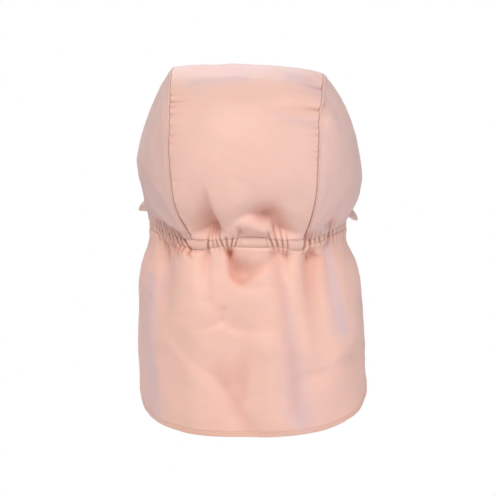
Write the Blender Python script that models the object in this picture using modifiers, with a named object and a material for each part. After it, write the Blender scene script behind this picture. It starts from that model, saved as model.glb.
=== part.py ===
"""A child's legionnaire cap: a three-panel cloth crown, a soft peak, a gathered band and a neck flap.

Metres, +Z up. The origin is the centre of the head opening, level with the rim at the ears.
The peak points along -Y, the neck flap hangs at +Y, and +X is the wearer's left.
Angles round the cap start at the back and grow towards +X, so the front is at 180 degrees.
"""

import math

import bmesh
import bpy
import numpy as np

COLLECTION = "legionnaire_cap"
HEAD_SEAT = "head_seat"

# Cloth walls, the clearance that sewn pieces keep, and how many walls from a seam its mitre is felt
CLOTH = 0.0012
SEAM_GAP = 0.0003
SEAM_BLEND = 4.0

# The head opening, an oval
RIM_HALF_WIDTH = 0.073
RIM_HALF_DEPTH = 0.089
RIM_FRONT_RISE = 0.016
RIM_BACK_DROP = 0.006

# The crown
CROWN_HEIGHT = 0.121
CROWN_HALF_WIDTH = 0.083
CROWN_HALF_DEPTH = 0.102
PANEL_HALF_WIDTH = 0.056
SEAM_ANGLE_BACK = math.radians(34)
SEAM_ANGLE_FRONT = math.radians(142)
TOP_TILT = 0.022

# Where the band ends and the peak begins
TEMPLE_ANGLE = math.radians(118.8)

# The elastic band round the back
BAND_HEIGHT = 0.0071
BAND_THICKNESS = 0.0026

# The peak
PEAK_LENGTH = 0.060
PEAK_HALF_WIDTH = 0.083
PEAK_THICKNESS = 0.0024
PEAK_FRONT_LEVEL = 0.008
PEAK_SIDE_LEVEL_LEFT = 0.0068
PEAK_SIDE_LEVEL_RIGHT = -0.0012
PEAK_HORN_WIDTH = 0.004

# The neck flap and its hem
FLAP_LENGTH = 0.1345
FLAP_HALF_WIDTH = 0.0855
FLAP_HALF_DEPTH = 0.103
FLAP_LEAN = 0.003
FLAP_CORNER_LEVEL = 0.080
FLAP_SETBACK = math.radians(2.8)
FLAP_LOWER_SETBACK = math.radians(12.8)
FLAP_OUTLINE_POWER = 2.6
FLAP_SQUARE_POWER = 0.86
HEM_WIDTH = 0.0038
HEM_THICKNESS = 0.0022

# How far from the band the cloth is held flat by it, as a share of the crown's height and of the flap's length
HELD_SHARE = 0.09

# How finely the pieces are divided
CROWN_ROWS = 33
CROWN_ROW_CROWDING = 0.5
CENTRE_COLUMNS = 17
SIDE_COLUMNS = 10
BAND_STEP = 0.0045
STEPS_PER_GATHER = 4
FLAP_ROWS = 14
FLAP_COLUMNS = 45
HEM_SECTIONS = 81
PEAK_COLUMNS = 31
PEAK_ROWS = 5

# Heights of the rim, as shares: level is of RIM_BACK_DROP behind 80 degrees and of RIM_FRONT_RISE before it
RIM_LEVELS = (
    {"degrees": 0, "back": -0.28, "front": 0.0},
    {"degrees": 14, "back": -0.42, "front": 0.0},
    {"degrees": 30, "back": -0.83, "front": 0.0},
    {"degrees": 48, "back": -0.15, "front": 0.0},
    {"degrees": 66, "back": 0.60, "front": 0.0},
    {"degrees": 90, "back": 0.75, "front": 0.03},
    {"degrees": 120, "back": 0.7, "front": 0.20},
    {"degrees": 150, "back": 0.0, "front": 0.80},
    {"degrees": 180, "back": 0.0, "front": 1.0},
)

# The centre panel from the peak over the top to the nape. y is a share of CROWN_HALF_DEPTH, z of CROWN_HEIGHT
# and seam_x of PANEL_HALF_WIDTH. sway moves the section sideways, and foot is where its side column meets the rim.
CENTRE_SECTIONS = (
    {"y": -0.873, "z": 0.130, "seam_x": 0.803, "seam_y": -0.688, "seam_z": 0.110, "sway": 0.00, "foot": 142},
    {"y": -0.925, "z": 0.270, "seam_x": 0.930, "seam_y": -0.725, "seam_z": 0.250, "sway": 0.00, "foot": 139},
    {"y": -0.940, "z": 0.450, "seam_x": 0.985, "seam_y": -0.735, "seam_z": 0.430, "sway": 0.00, "foot": 135},
    {"y": -0.875, "z": 0.700, "seam_x": 1.010, "seam_y": -0.690, "seam_z": 0.670, "sway": 0.00, "foot": 129},
    {"y": -0.670, "z": 0.890, "seam_x": 1.015, "seam_y": -0.530, "seam_z": 0.850, "sway": 0.00, "foot": 119},
    {"y": -0.340, "z": 0.980, "seam_x": 1.010, "seam_y": -0.290, "seam_z": 0.940, "sway": 0.00, "foot": 105},
    {"y": 0.050, "z": 1.000, "seam_x": 1.000, "seam_y": 0.040, "seam_z": 0.965, "sway": 0.00, "foot": 88},
    {"y": 0.420, "z": 0.965, "seam_x": 1.000, "seam_y": 0.370, "seam_z": 0.930, "sway": 0.01, "foot": 71},
    {"y": 0.750, "z": 0.840, "seam_x": 0.985, "seam_y": 0.630, "seam_z": 0.805, "sway": 0.03, "foot": 57},
    {"y": 0.930, "z": 0.640, "seam_x": 0.965, "seam_y": 0.765, "seam_z": 0.620, "sway": 0.05, "foot": 47},
    {"y": 1.000, "z": 0.400, "seam_x": 0.950, "seam_y": 0.820, "seam_z": 0.385, "sway": 0.05, "foot": 41},
    {"y": 0.985, "z": 0.170, "seam_x": 0.895, "seam_y": 0.805, "seam_z": 0.160, "sway": 0.04, "foot": 37},
    {"y": 0.873, "z": 0.020, "seam_x": 0.729, "seam_y": 0.723, "seam_z": 0.000, "sway": 0.00, "foot": 34},
)

# A side panel from the seam down to the rim: drop along the column, and how far it stands out, on each side
SIDE_SECTIONS = (
    {"drop": 0.00, "left": 0.00, "right": 0.00},
    {"drop": 0.11, "left": 0.40, "right": 0.41},
    {"drop": 0.27, "left": 0.74, "right": 0.80},
    {"drop": 0.43, "left": 0.95, "right": 0.99},
    {"drop": 0.57, "left": 1.00, "right": 1.00},
    {"drop": 0.69, "left": 0.88, "right": 0.99},
    {"drop": 0.82, "left": 0.62, "right": 0.80},
    {"drop": 0.92, "left": 0.32, "right": 0.46},
    {"drop": 1.00, "left": 0.00, "right": 0.00},
)

# Half of the peak's outer edge from its middle round to the temple: x is a share of PEAK_HALF_WIDTH, y is how far
# before the rim's front in shares of PEAK_LENGTH, and droop is how far it has come down from its front to its side
PEAK_EDGE = (
    {"x": 0.000, "y": 1.000, "droop": 0.00},
    {"x": 0.250, "y": 0.975, "droop": 0.02},
    {"x": 0.480, "y": 0.890, "droop": 0.09},
    {"x": 0.690, "y": 0.700, "droop": 0.24},
    {"x": 0.860, "y": 0.390, "droop": 0.50},
    {"x": 0.965, "y": 0.000, "droop": 0.78},
    {"x": 1.000, "y": -0.380, "droop": 1.00},
    {"x": 0.945, "y": -0.640, "droop": 0.90},
    {"x": 0.830, "y": -0.760, "droop": 0.60},
)

# How far the flap has flared from the band's size to its own, by share of its length
FLAP_FLARE = (
    {"down": 0.00, "side": 0.00, "back": 0.00},
    {"down": 0.08, "side": 0.16, "back": 0.10},
    {"down": 0.20, "side": 0.62, "back": 0.34},
    {"down": 0.32, "side": 0.86, "back": 0.56},
    {"down": 0.55, "side": 0.95, "back": 0.80},
    {"down": 1.00, "side": 1.00, "back": 1.00},
)

# Folds pressed into the crown and the flap, as seen from behind. x is a share of CROWN_HALF_WIDTH, z of CROWN_HEIGHT
# above the rim and of FLAP_LENGTH below it. wide and deep are shares of CROWN_HEIGHT, at both ends of the fold.
CROWN_FOLDS = (
    {"x0": 0.40, "z0": 0.22, "x1": 0.32, "z1": 0.10, "x2": 0.26, "z2": -0.03, "wide0": 0.050, "wide1": 0.080, "deep0": 0.015, "deep1": 0.085},
    {"x0": 0.10, "z0": 0.07, "x1": -0.06, "z1": 0.18, "x2": -0.22, "z2": 0.02, "wide0": 0.065, "wide1": 0.085, "deep0": 0.035, "deep1": 0.080},
    {"x0": -0.98, "z0": 0.20, "x1": -0.84, "z1": 0.08, "x2": -0.72, "z2": 0.00, "wide0": 0.05, "wide1": 0.06, "deep0": 0.010, "deep1": 0.060},
    {"x0": 0.96, "z0": 0.17, "x1": 0.80, "z1": 0.06, "x2": 0.60, "z2": -0.04, "wide0": 0.05, "wide1": 0.06, "deep0": 0.010, "deep1": 0.050},
)
FLAP_FOLDS = (
    {"x0": 0.19, "z0": -0.06, "x1": 0.16, "z1": -0.30, "x2": -0.14, "z2": -0.32, "wide0": 0.03, "wide1": 0.05, "deep0": 0.045, "deep1": 0.015},
    {"x0": 0.40, "z0": -0.06, "x1": 0.39, "z1": -0.20, "x2": 0.39, "z2": -0.34, "wide0": 0.03, "wide1": 0.04, "deep0": 0.025, "deep1": 0.010},
    {"x0": -0.30, "z0": -0.06, "x1": -0.33, "z1": -0.45, "x2": -0.50, "z2": -0.95, "wide0": 0.03, "wide1": 0.10, "deep0": 0.035, "deep1": 0.020},
    {"x0": -0.50, "z0": -0.24, "x1": -0.56, "z1": -0.45, "x2": -0.68, "z2": -0.66, "wide0": 0.07, "wide1": 0.07, "deep0": 0.030, "deep1": 0.020},
    {"x0": 0.70, "z0": -0.60, "x1": 0.45, "z1": -0.78, "x2": 0.16, "z2": -0.98, "wide0": 0.07, "wide1": 0.07, "deep0": 0.020, "deep1": 0.025},
    {"x0": 0.80, "z0": -0.06, "x1": 0.76, "z1": -0.45, "x2": 0.78, "z2": -0.90, "wide0": 0.04, "wide1": 0.09, "deep0": 0.030, "deep1": 0.020},
    {"x0": -0.74, "z0": -0.06, "x1": -0.72, "z1": -0.12, "x2": -0.64, "z2": -0.20, "wide0": 0.03, "wide1": 0.04, "deep0": 0.030, "deep1": 0.010},
)

# Runs of small gathers along the band, in degrees round the cap
BAND_GATHERS = (
    {"start": -112, "end": -84, "ribs": 6, "deep": 0.0004},
    {"start": -82, "end": -47, "ribs": 9, "deep": 0.0008},
    {"start": -42, "end": -32, "ribs": 4, "deep": 0.0010},
    {"start": -28, "end": -13, "ribs": 6, "deep": 0.0012},
    {"start": 4, "end": 25, "ribs": 9, "deep": 0.0012},
    {"start": 36, "end": 84, "ribs": 15, "deep": 0.0010},
    {"start": 86, "end": 112, "ribs": 6, "deep": 0.0004},
)

# How a rounded strip's section runs round: across its width, and out from its middle by half its thickness
STRIP_SECTION = (
    {"across": 0.00, "out": -1.00},
    {"across": 0.00, "out": 0.30},
    {"across": 0.25, "out": 1.00},
    {"across": 0.75, "out": 1.00},
    {"across": 1.00, "out": 0.30},
    {"across": 1.00, "out": -1.00},
)

# Colour and roughness of each cloth
CLOTHS = {
    "centre_cloth": {"colour": (0.85, 0.56, 0.46, 1.0), "roughness": 0.62},
    "side_cloth": {"colour": (0.78, 0.52, 0.45, 1.0), "roughness": 0.62},
    "band_cloth": {"colour": (0.74, 0.47, 0.40, 1.0), "roughness": 0.66},
    "peak_cloth": {"colour": (0.80, 0.54, 0.47, 1.0), "roughness": 0.62},
    "flap_cloth": {"colour": (0.86, 0.55, 0.45, 1.0), "roughness": 0.60},
    "hem_cloth": {"colour": (0.82, 0.48, 0.35, 1.0), "roughness": 0.66},
}


def clear_scene():
    """Empties the scene and gives it a collection for the cap, with an empty where the head sits."""
    for old in list(bpy.data.objects):
        bpy.data.objects.remove(old, do_unlink=True)
    collection = bpy.data.collections.new(COLLECTION)
    bpy.context.scene.collection.children.link(collection)
    seat = bpy.data.objects.new(HEAD_SEAT, None)
    seat.empty_display_size = RIM_HALF_WIDTH
    collection.objects.link(seat)


def column(table, name):
    """One named column of a table as an array."""
    return np.array([row[name] for row in table], float)


def smooth_through(known, values, wanted):
    """A smooth curve through (known, values), read at wanted, without overshooting."""
    known = np.asarray(known, float)
    values = np.asarray(values, float)
    steps = np.diff(values) / np.diff(known)
    slopes = np.empty_like(values)
    slopes[0] = steps[0]
    slopes[-1] = steps[-1]
    before, after = steps[:-1], steps[1:]
    total = np.where(np.abs(before + after) < 1e-12, 1.0, before + after)
    slopes[1:-1] = np.where(before * after > 0, 2 * before * after / total, 0.0)
    wanted = np.clip(np.asarray(wanted, float), known[0], known[-1])
    i = np.clip(np.searchsorted(known, wanted, side="right") - 1, 0, len(known) - 2)
    width = known[i + 1] - known[i]
    t = (wanted - known[i]) / width
    return (
        (1 + 2 * t) * (1 - t) ** 2 * values[i]
        + t * (1 - t) ** 2 * width * slopes[i]
        + t**2 * (3 - 2 * t) * values[i + 1]
        + t**2 * (t - 1) * width * slopes[i + 1]
    )


def round_through(values, wanted):
    """A round curve through evenly numbered values (Catmull-Rom), read at fractional numbers."""
    values = np.asarray(values, float)
    padded = np.concatenate([[2 * values[0] - values[1]], values, [2 * values[-1] - values[-2]]])
    i = np.clip(np.floor(wanted).astype(int), 0, len(values) - 2)
    t = wanted - i
    a, b, c, d = padded[i], padded[i + 1], padded[i + 2], padded[i + 3]
    return b + 0.5 * t * (c - a + t * (2 * a - 5 * b + 4 * c - d + t * (3 * (b - c) + d - a)))


def ease(value):
    """0 below 0 and 1 above 1, with a smooth step between."""
    value = np.clip(value, 0.0, 1.0)
    return value * value * (3 - 2 * value)


def unit(vectors):
    """The vectors at length one."""
    return vectors / np.maximum(np.linalg.norm(vectors, axis=-1, keepdims=True), 1e-12)


def rim_level(angle):
    """Height of the top of the band, or of the peak's root, round the cap."""
    degrees = np.degrees(np.abs(angle))
    back = smooth_through(column(RIM_LEVELS, "degrees"), column(RIM_LEVELS, "back"), degrees)
    front = smooth_through(column(RIM_LEVELS, "degrees"), column(RIM_LEVELS, "front"), degrees)
    return back * RIM_BACK_DROP + front * RIM_FRONT_RISE


def rim_points(angle, out=0.0, above=0.0):
    """Points of the oval rim, moved out from it and above its level."""
    angle = np.asarray(angle, float)
    across = np.stack([np.sin(angle) / RIM_HALF_WIDTH, np.cos(angle) / RIM_HALF_DEPTH], axis=-1)
    normal = unit(across)
    x = RIM_HALF_WIDTH * np.sin(angle) + out * normal[..., 0]
    y = RIM_HALF_DEPTH * np.cos(angle) + out * normal[..., 1]
    return np.stack([x, y, rim_level(angle) + above], axis=-1)


def fold_depth(points, fold):
    """How deep one fold presses in at each point, seen from behind: a bent stroke with soft sides."""
    along = np.linspace(0.0, 1.0, 17)
    below = points[..., 2] < 0
    z_unit = np.where(below, FLAP_LENGTH, CROWN_HEIGHT)
    x = points[..., 0] / CROWN_HALF_WIDTH
    z = points[..., 2] / z_unit
    line_x = (1 - along) ** 2 * fold["x0"] + 2 * along * (1 - along) * fold["x1"] + along**2 * fold["x2"]
    line_z = (1 - along) ** 2 * fold["z0"] + 2 * along * (1 - along) * fold["z1"] + along**2 * fold["z2"]
    away_x = (x[..., None] - line_x) * CROWN_HALF_WIDTH
    away_z = (z[..., None] - line_z) * z_unit[..., None]
    distance = np.hypot(away_x, away_z)
    wide = (fold["wide0"] + (fold["wide1"] - fold["wide0"]) * along) * CROWN_HEIGHT
    deep = (fold["deep0"] + (fold["deep1"] - fold["deep0"]) * along) * CROWN_HEIGHT
    pressed = deep * np.exp(-((distance / wide) ** 2))
    return pressed.max(axis=-1) * ease(points[..., 1] / (0.2 * CROWN_HALF_DEPTH) + 0.3)


def press_folds(points, normals, folds, held):
    """Moves points inwards by the folds; held is 1 where the cloth is sewn fast and 0 where it is free."""
    pressed = sum(fold_depth(points, fold) for fold in folds)
    return points - normals * (pressed * (1 - held))[..., None]


def grid_normals(grid):
    """Normals of a grid of points, from its own slopes."""
    return unit(np.cross(np.gradient(grid, axis=0), np.gradient(grid, axis=1)))


def section_numbers():
    """Section numbers, with fractions, of the crown's mesh rows, which crowd together towards the nape."""
    fine = np.linspace(0, len(CENTRE_SECTIONS) - 1, 400)
    y = CROWN_HALF_DEPTH * round_through(column(CENTRE_SECTIONS, "y"), fine)
    z = CROWN_HEIGHT * round_through(column(CENTRE_SECTIONS, "z"), fine)
    length = np.concatenate([[0], np.cumsum(np.hypot(np.diff(y), np.diff(z)))])
    share = np.linspace(0, 1, CROWN_ROWS)
    share = share + CROWN_ROW_CROWDING * share * (1 - share)
    return np.interp(share * length[-1], length, fine)


def seam_line(sections, side):
    """The seam between the centre panel and a side panel; side is +1 on the left and -1 on the right."""
    x = side * PANEL_HALF_WIDTH * round_through(column(CENTRE_SECTIONS, "seam_x"), sections)
    sway = PANEL_HALF_WIDTH * round_through(column(CENTRE_SECTIONS, "sway"), sections)
    y = CROWN_HALF_DEPTH * round_through(column(CENTRE_SECTIONS, "seam_y"), sections)
    z = CROWN_HEIGHT * round_through(column(CENTRE_SECTIONS, "seam_z"), sections)
    line = np.stack([x + sway, y, z], axis=-1)
    for row, angle in ((0, SEAM_ANGLE_FRONT), (-1, SEAM_ANGLE_BACK)):
        corner = rim_points(side * angle, above=SEAM_GAP)
        near = ease(1 - np.abs(np.arange(len(line)) - row % len(line)) / 4)
        line = line + near[:, None] * (corner - line[row])
    return line


def centre_grid(sections):
    """The centre panel's outer surface, from the right seam to the left seam in each row."""
    across = np.linspace(-1.0, 1.0, CENTRE_COLUMNS)
    left, right = seam_line(sections, 1), seam_line(sections, -1)
    y = CROWN_HALF_DEPTH * round_through(column(CENTRE_SECTIONS, "y"), sections)
    z = CROWN_HEIGHT * round_through(column(CENTRE_SECTIONS, "z"), sections)
    middle = np.stack([(left[:, 0] + right[:, 0]) / 2, y, z], axis=-1)
    bend = SEAM_ANGLE_BACK
    sideways = np.sin(bend * across) / math.sin(bend)
    hollow = (1 - np.cos(bend * across)) / (1 - math.cos(bend))
    half = (left - right) / 2
    drop = (left + right) / 2 - middle
    grid = (
        middle[:, None]
        + sideways[None, :, None] * half[:, None] * np.array([1, 1, 1])
        + hollow[None, :, None] * drop[:, None] * np.array([0, 1, 1])
    )
    for row, angle in ((0, SEAM_ANGLE_FRONT), (-1, SEAM_ANGLE_BACK)):
        sweep = angle * across if row else np.pi - (np.pi - angle) * across
        sweep = np.where(sweep > np.pi, sweep - 2 * np.pi, sweep)
        rim = rim_points(sweep if row else sweep[::1], above=SEAM_GAP)
        near = ease(1 - np.abs(np.arange(len(grid)) - row % len(grid)) / 5)
        grid = grid + near[:, None, None] * (rim - grid[row])[None]
    return grid


def side_grid(sections, side):
    """A side panel's outer surface: each column runs from the seam down to the rim."""
    seam = seam_line(sections, side)
    foot_angle = np.radians(round_through(column(CENTRE_SECTIONS, "foot"), sections))
    foot_angle = np.interp(
        foot_angle, (foot_angle.min(), foot_angle.max()), (SEAM_ANGLE_BACK, SEAM_ANGLE_FRONT)
    )
    foot = rim_points(side * foot_angle, above=SEAM_GAP)
    down = np.linspace(0.0, 1.0, SIDE_COLUMNS)
    down = 0.5 * down + 0.5 * ease(down)
    standing = smooth_through(
        column(SIDE_SECTIONS, "drop"), column(SIDE_SECTIONS, "left" if side > 0 else "right"), down
    )
    chord = np.linalg.norm(foot - seam, axis=-1)
    lean = math.pi / 2 - (math.pi / 2 - foot_angle) * 0.45
    outwards = np.stack([side * np.sin(lean), np.cos(lean), np.zeros_like(lean)], axis=-1)
    middle = int(np.argmax(chord))
    reach = CROWN_HALF_WIDTH - np.abs(seam[middle] + 0.57 * (foot[middle] - seam[middle]))[0]
    amount = reach * (chord / chord[middle]) ** 1.3
    grid = seam[:, None] + down[None, :, None] * (foot - seam)[:, None]
    return grid + amount[:, None, None] * standing[None, :, None] * outwards[:, None]


def tilted(points):
    """The crown's top leans a little to one side; what lies no higher than the rim stays level."""
    share = np.clip((points[..., 2] - 2 * RIM_FRONT_RISE) / (CROWN_HEIGHT - 2 * RIM_FRONT_RISE), 0.0, 1.0)
    moved = points.copy()
    moved[..., 2] += TOP_TILT * points[..., 0] * share
    return moved


def held_near_rim(points):
    """1 where the crown is sewn to the rim, easing to 0 a little above it."""
    angle = np.arctan2(points[..., 0] / RIM_HALF_WIDTH, points[..., 1] / RIM_HALF_DEPTH)
    return 1 - ease((points[..., 2] - rim_level(angle) - SEAM_GAP) / (HELD_SHARE * CROWN_HEIGHT))


def crown_grids():
    """Outer and inner grids of the three crown panels, sharing their normals along the seams."""
    sections = section_numbers()
    centre = tilted(centre_grid(sections))
    sides = {side: tilted(side_grid(sections, side)) for side in (1, -1)}
    centre_normals = grid_normals(centre)
    if centre_normals[CROWN_ROWS // 2, CENTRE_COLUMNS // 2, 2] < 0:
        centre_normals = -centre_normals
    side_normals = {}
    for side, grid in sides.items():
        grown = grid.copy()
        grown[0] = 2 * grid[1] - grid[2]
        grown[-1] = 2 * grid[-2] - grid[-3]
        normals = grid_normals(grown)
        if normals[CROWN_ROWS // 2, SIDE_COLUMNS // 2, 0] * side < 0:
            normals = -normals
        edge = -1 if side > 0 else 0
        shared = unit(normals[:, 0] + centre_normals[:, edge])
        from_seam = np.linalg.norm(grid - grid[:, :1], axis=-1)
        near = np.exp(-((from_seam / (SEAM_BLEND * CLOTH)) ** 2))[..., None]
        side_normals[side] = unit(normals + near * (shared[:, None] - normals))
        centre_normals[:, edge] = shared
    centre = press_folds(centre, centre_normals, CROWN_FOLDS, held_near_rim(centre))
    for side, grid in sides.items():
        sides[side] = press_folds(grid, side_normals[side], CROWN_FOLDS, held_near_rim(grid))
    return centre, centre_normals, sides, side_normals


def drawn_in(grid, columns, by=SEAM_GAP / 2):
    """The grid with some of its edge columns moved towards their neighbours, to leave room for a seam."""
    moved = grid.copy()
    for edge in columns:
        step = 1 if edge == 0 else -1
        moved[:, edge] += by * unit(grid[:, edge + step] - grid[:, edge])
    return moved


def sewn_object(name, points, faces, cloth, place, closed=True):
    """An object at its place on the cap, from points and faces; a closed one is welded and gets its faces pointing out."""
    place = np.asarray(place, float)
    mesh = bpy.data.meshes.new(name)
    mesh.from_pydata([tuple(p) for p in points - place], [], faces)
    if closed:
        shape = bmesh.new()
        shape.from_mesh(mesh)
        bmesh.ops.remove_doubles(shape, verts=shape.verts, dist=1e-6)
        bmesh.ops.recalc_face_normals(shape, faces=shape.faces)
        shape.to_mesh(mesh)
        shape.free()
    mesh.shade_smooth()
    mesh.set_sharp_from_angle(angle=math.radians(50))
    mesh.materials.append(cloth_material(name, cloth))
    made = bpy.data.objects.new(name, mesh)
    made.location = place
    made.parent = bpy.data.objects[HEAD_SEAT]
    bpy.data.collections[COLLECTION].objects.link(made)
    return made


def cloth_material(name, cloth):
    """A piece's own material, in one of the cap's cloths."""
    material = bpy.data.materials.new(name)
    material.use_nodes = True
    shader = material.node_tree.nodes["Principled BSDF"]
    shader.inputs["Base Color"].default_value = CLOTHS[cloth]["colour"]
    shader.inputs["Roughness"].default_value = CLOTHS[cloth]["roughness"]
    shader.inputs["Metallic"].default_value = 0.0
    return material


def grid_faces(rows, columns, first=0):
    """Four-sided faces of a grid of points, numbered row by row."""
    corner = first + np.arange(rows - 1)[:, None] * columns + np.arange(columns - 1)
    return np.stack([corner, corner + columns, corner + columns + 1, corner + 1], axis=-1).reshape(-1, 4).tolist()


def shell_object(name, grid, thickness, cloth, place):
    """An open surface made solid inwards. The grid's rows run down or out, and its columns towards +X."""
    rows, columns = grid.shape[:2]
    made = sewn_object(name, grid.reshape(-1, 3), grid_faces(rows, columns), cloth, place, closed=False)
    solid = made.modifiers.new("cloth", "SOLIDIFY")
    solid.thickness = thickness
    solid.offset = -1.0
    solid.use_even_offset = True
    return made


def mitred_object(name, outer, inner, cloth, place):
    """A panel lofted between its outer and inner surfaces, so that its edges meet the next panel's in a mitre."""
    rows, columns = outer.shape[:2]
    layer = rows * columns
    faces = grid_faces(rows, columns) + grid_faces(rows, columns, first=layer)
    number = np.arange(layer).reshape(rows, columns)
    edge = np.concatenate([number[0], number[1:, -1], number[-1, -2::-1], number[-2:0:-1, 0]])
    after = np.roll(edge, -1)
    low, high = np.minimum(edge, after), np.maximum(edge, after)
    faces += np.stack([low, high, high + layer], axis=-1).tolist()
    faces += np.stack([low, high + layer, low + layer], axis=-1).tolist()
    return sewn_object(name, np.concatenate([outer.reshape(-1, 3), inner.reshape(-1, 3)]), faces, cloth, place)


def strip_object(name, rings, cloth, place):
    """A strip whose changing section is lofted along it, with capped ends."""
    count, around = rings.shape[:2]
    number = np.arange(count * around).reshape(count, around)
    after = np.roll(number, -1, axis=1)
    faces = np.stack([number[:-1], after[:-1], after[1:], number[1:]], axis=-1).reshape(-1, 4).tolist()
    faces += [number[0].tolist(), number[-1].tolist()]
    return sewn_object(name, rings.reshape(-1, 3), faces, cloth, place)


def make_crown():
    """The centre panel and the two side panels."""
    centre, centre_normals, sides, side_normals = crown_grids()
    outer = drawn_in(centre, columns=(0, -1))
    inner = outer - CLOTH * centre_normals
    mitred_object("crown_centre_panel", outer, inner, "centre_cloth", (0, 0, CROWN_HEIGHT))
    for side, name in ((1, "crown_left_panel"), (-1, "crown_right_panel")):
        grid = sides[side]
        outer = drawn_in(grid, columns=(0,))
        for end, beside in ((0, 1), (-1, -2)):
            outer[end] = grid[end, -1] + SEAM_GAP / 2 * unit(grid[beside, -1] - grid[end, -1])
        inner = outer - CLOTH * side_normals[side]
        mitred_object(name, outer, inner, "side_cloth", (side * CROWN_HALF_WIDTH, 0, CROWN_HEIGHT / 2))


def gather_depth(angle):
    """How far the band's small gathers sink at each angle."""
    degrees = np.degrees(angle)
    depth = np.zeros_like(degrees)
    for run in BAND_GATHERS:
        share = (degrees - run["start"]) / (run["end"] - run["start"])
        inside = (share > 0) & (share < 1)
        wave = 0.5 - 0.5 * np.cos(2 * math.pi * run["ribs"] * share)
        depth += np.where(inside, run["deep"] * wave, 0.0)
    return depth


def band_angles():
    """Angles of the band's sections: several to a gather, and wider apart where it lies flat."""
    radius = (RIM_HALF_WIDTH + RIM_HALF_DEPTH) / 2
    last = TEMPLE_ANGLE - SEAM_GAP / 2 / radius
    stops = [-last]
    for run in BAND_GATHERS:
        start, end = math.radians(run["start"]), math.radians(run["end"])
        plain = max(1, int(round((start - stops[-1]) * radius / BAND_STEP)))
        stops.extend(np.linspace(stops[-1], start, plain + 1)[1:])
        stops.extend(np.linspace(start, end, run["ribs"] * STEPS_PER_GATHER + 1)[1:])
    plain = max(1, int(round((last - stops[-1]) * radius / BAND_STEP)))
    stops.extend(np.linspace(stops[-1], last, plain + 1)[1:])
    return np.array(stops)


def make_band():
    """The gathered casing of the elastic, from one end of the peak round the back to the other."""
    angles = band_angles()
    rings = []
    for spot in STRIP_SECTION:
        out = spot["out"] * BAND_THICKNESS / 2 - CLOTH / 2
        sunk = gather_depth(angles) * (0.5 + 0.5 * spot["out"])
        rings.append(np.stack([
            rim_points(angle, out=out - depth, above=-spot["across"] * BAND_HEIGHT)
            for angle, depth in zip(angles, sunk)
        ]))
    strip_object("elastic_band", np.stack(rings, axis=1), "band_cloth", rim_points(0.0))


def make_peak():
    """The peak: from the rim's front out to its rounded edge, drooping at its sides, with a horn at each temple."""
    across = np.linspace(-1.0, 1.0, PEAK_COLUMNS)
    end_angle = TEMPLE_ANGLE + SEAM_GAP / RIM_HALF_WIDTH
    angles = np.pi - (np.pi - end_angle) * across
    root = rim_points(np.where(angles > np.pi, angles - 2 * np.pi, angles), out=-CLOTH)
    along = np.abs(across) * (len(PEAK_EDGE) - 1)
    edge_x = np.sign(across) * PEAK_HALF_WIDTH * round_through(column(PEAK_EDGE, "x"), along)
    edge_y = -RIM_HALF_DEPTH - PEAK_LENGTH * round_through(column(PEAK_EDGE, "y"), along)
    side = np.where(across > 0, PEAK_SIDE_LEVEL_LEFT, PEAK_SIDE_LEVEL_RIGHT)
    droop = round_through(column(PEAK_EDGE, "droop"), along)
    edge = np.stack([edge_x, edge_y, PEAK_FRONT_LEVEL + (side - PEAK_FRONT_LEVEL) * droop], axis=-1)
    horn = rim_points(np.array([-end_angle, end_angle]), out=PEAK_HORN_WIDTH)
    for row, point in ((0, horn[0]), (-1, horn[1])):
        near = ease(1 - np.abs(across - across[row]) / 0.25)
        edge += near[:, None] * (point - edge[row])
    out = np.linspace(0.0, 1.0, PEAK_ROWS)
    top = root[None] + out[:, None, None] * (edge - root)[None]
    arch = np.sin(math.pi * out)[:, None] * (1 - np.abs(across) ** 2)[None]
    top[..., 2] += 0.06 * PEAK_LENGTH * arch
    shell_object("peak", top, PEAK_THICKNESS, "peak_cloth", rim_points(np.pi))


def flap_point(angle, level):
    """The neck flap's outer surface at an angle round the cap and a height, before its folds."""
    top = rim_level(angle) - BAND_HEIGHT - SEAM_GAP
    down = np.clip((top - level) / FLAP_LENGTH, 0.0, 1.0)
    side = smooth_through(column(FLAP_FLARE, "down"), column(FLAP_FLARE, "side"), down)
    back = smooth_through(column(FLAP_FLARE, "down"), column(FLAP_FLARE, "back"), down)
    half_width = RIM_HALF_WIDTH + (FLAP_HALF_WIDTH - RIM_HALF_WIDTH) * side
    half_depth = RIM_HALF_DEPTH + (FLAP_HALF_DEPTH - RIM_HALF_DEPTH) * back
    power = 1 + (FLAP_SQUARE_POWER - 1) * side
    x = half_width * np.sign(np.sin(angle)) * np.abs(np.sin(angle)) ** power - FLAP_LEAN * down
    y = half_depth * np.sign(np.cos(angle)) * np.abs(np.cos(angle)) ** power
    return np.stack([x, y, level], axis=-1)


def flap_surface(pattern):
    """Points and normals on the folded flap for places in its pattern: (length round the cap, height)."""
    angle, level = pattern[..., 0] / FLAP_HALF_WIDTH, pattern[..., 1]
    step = 0.004 * FLAP_LENGTH
    here = flap_point(angle, level)
    round_it = flap_point(angle + step / FLAP_HALF_WIDTH, level) - here
    normals = unit(np.cross(round_it, flap_point(angle, level + step) - here))
    normals *= np.sign((normals[..., :2] * here[..., :2]).sum(axis=-1))[..., None]
    top = rim_level(angle) - BAND_HEIGHT - SEAM_GAP
    held = 1 - ease((top - level) / (HELD_SHARE * FLAP_LENGTH))
    return press_folds(here, normals, FLAP_FOLDS, held), normals


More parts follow.
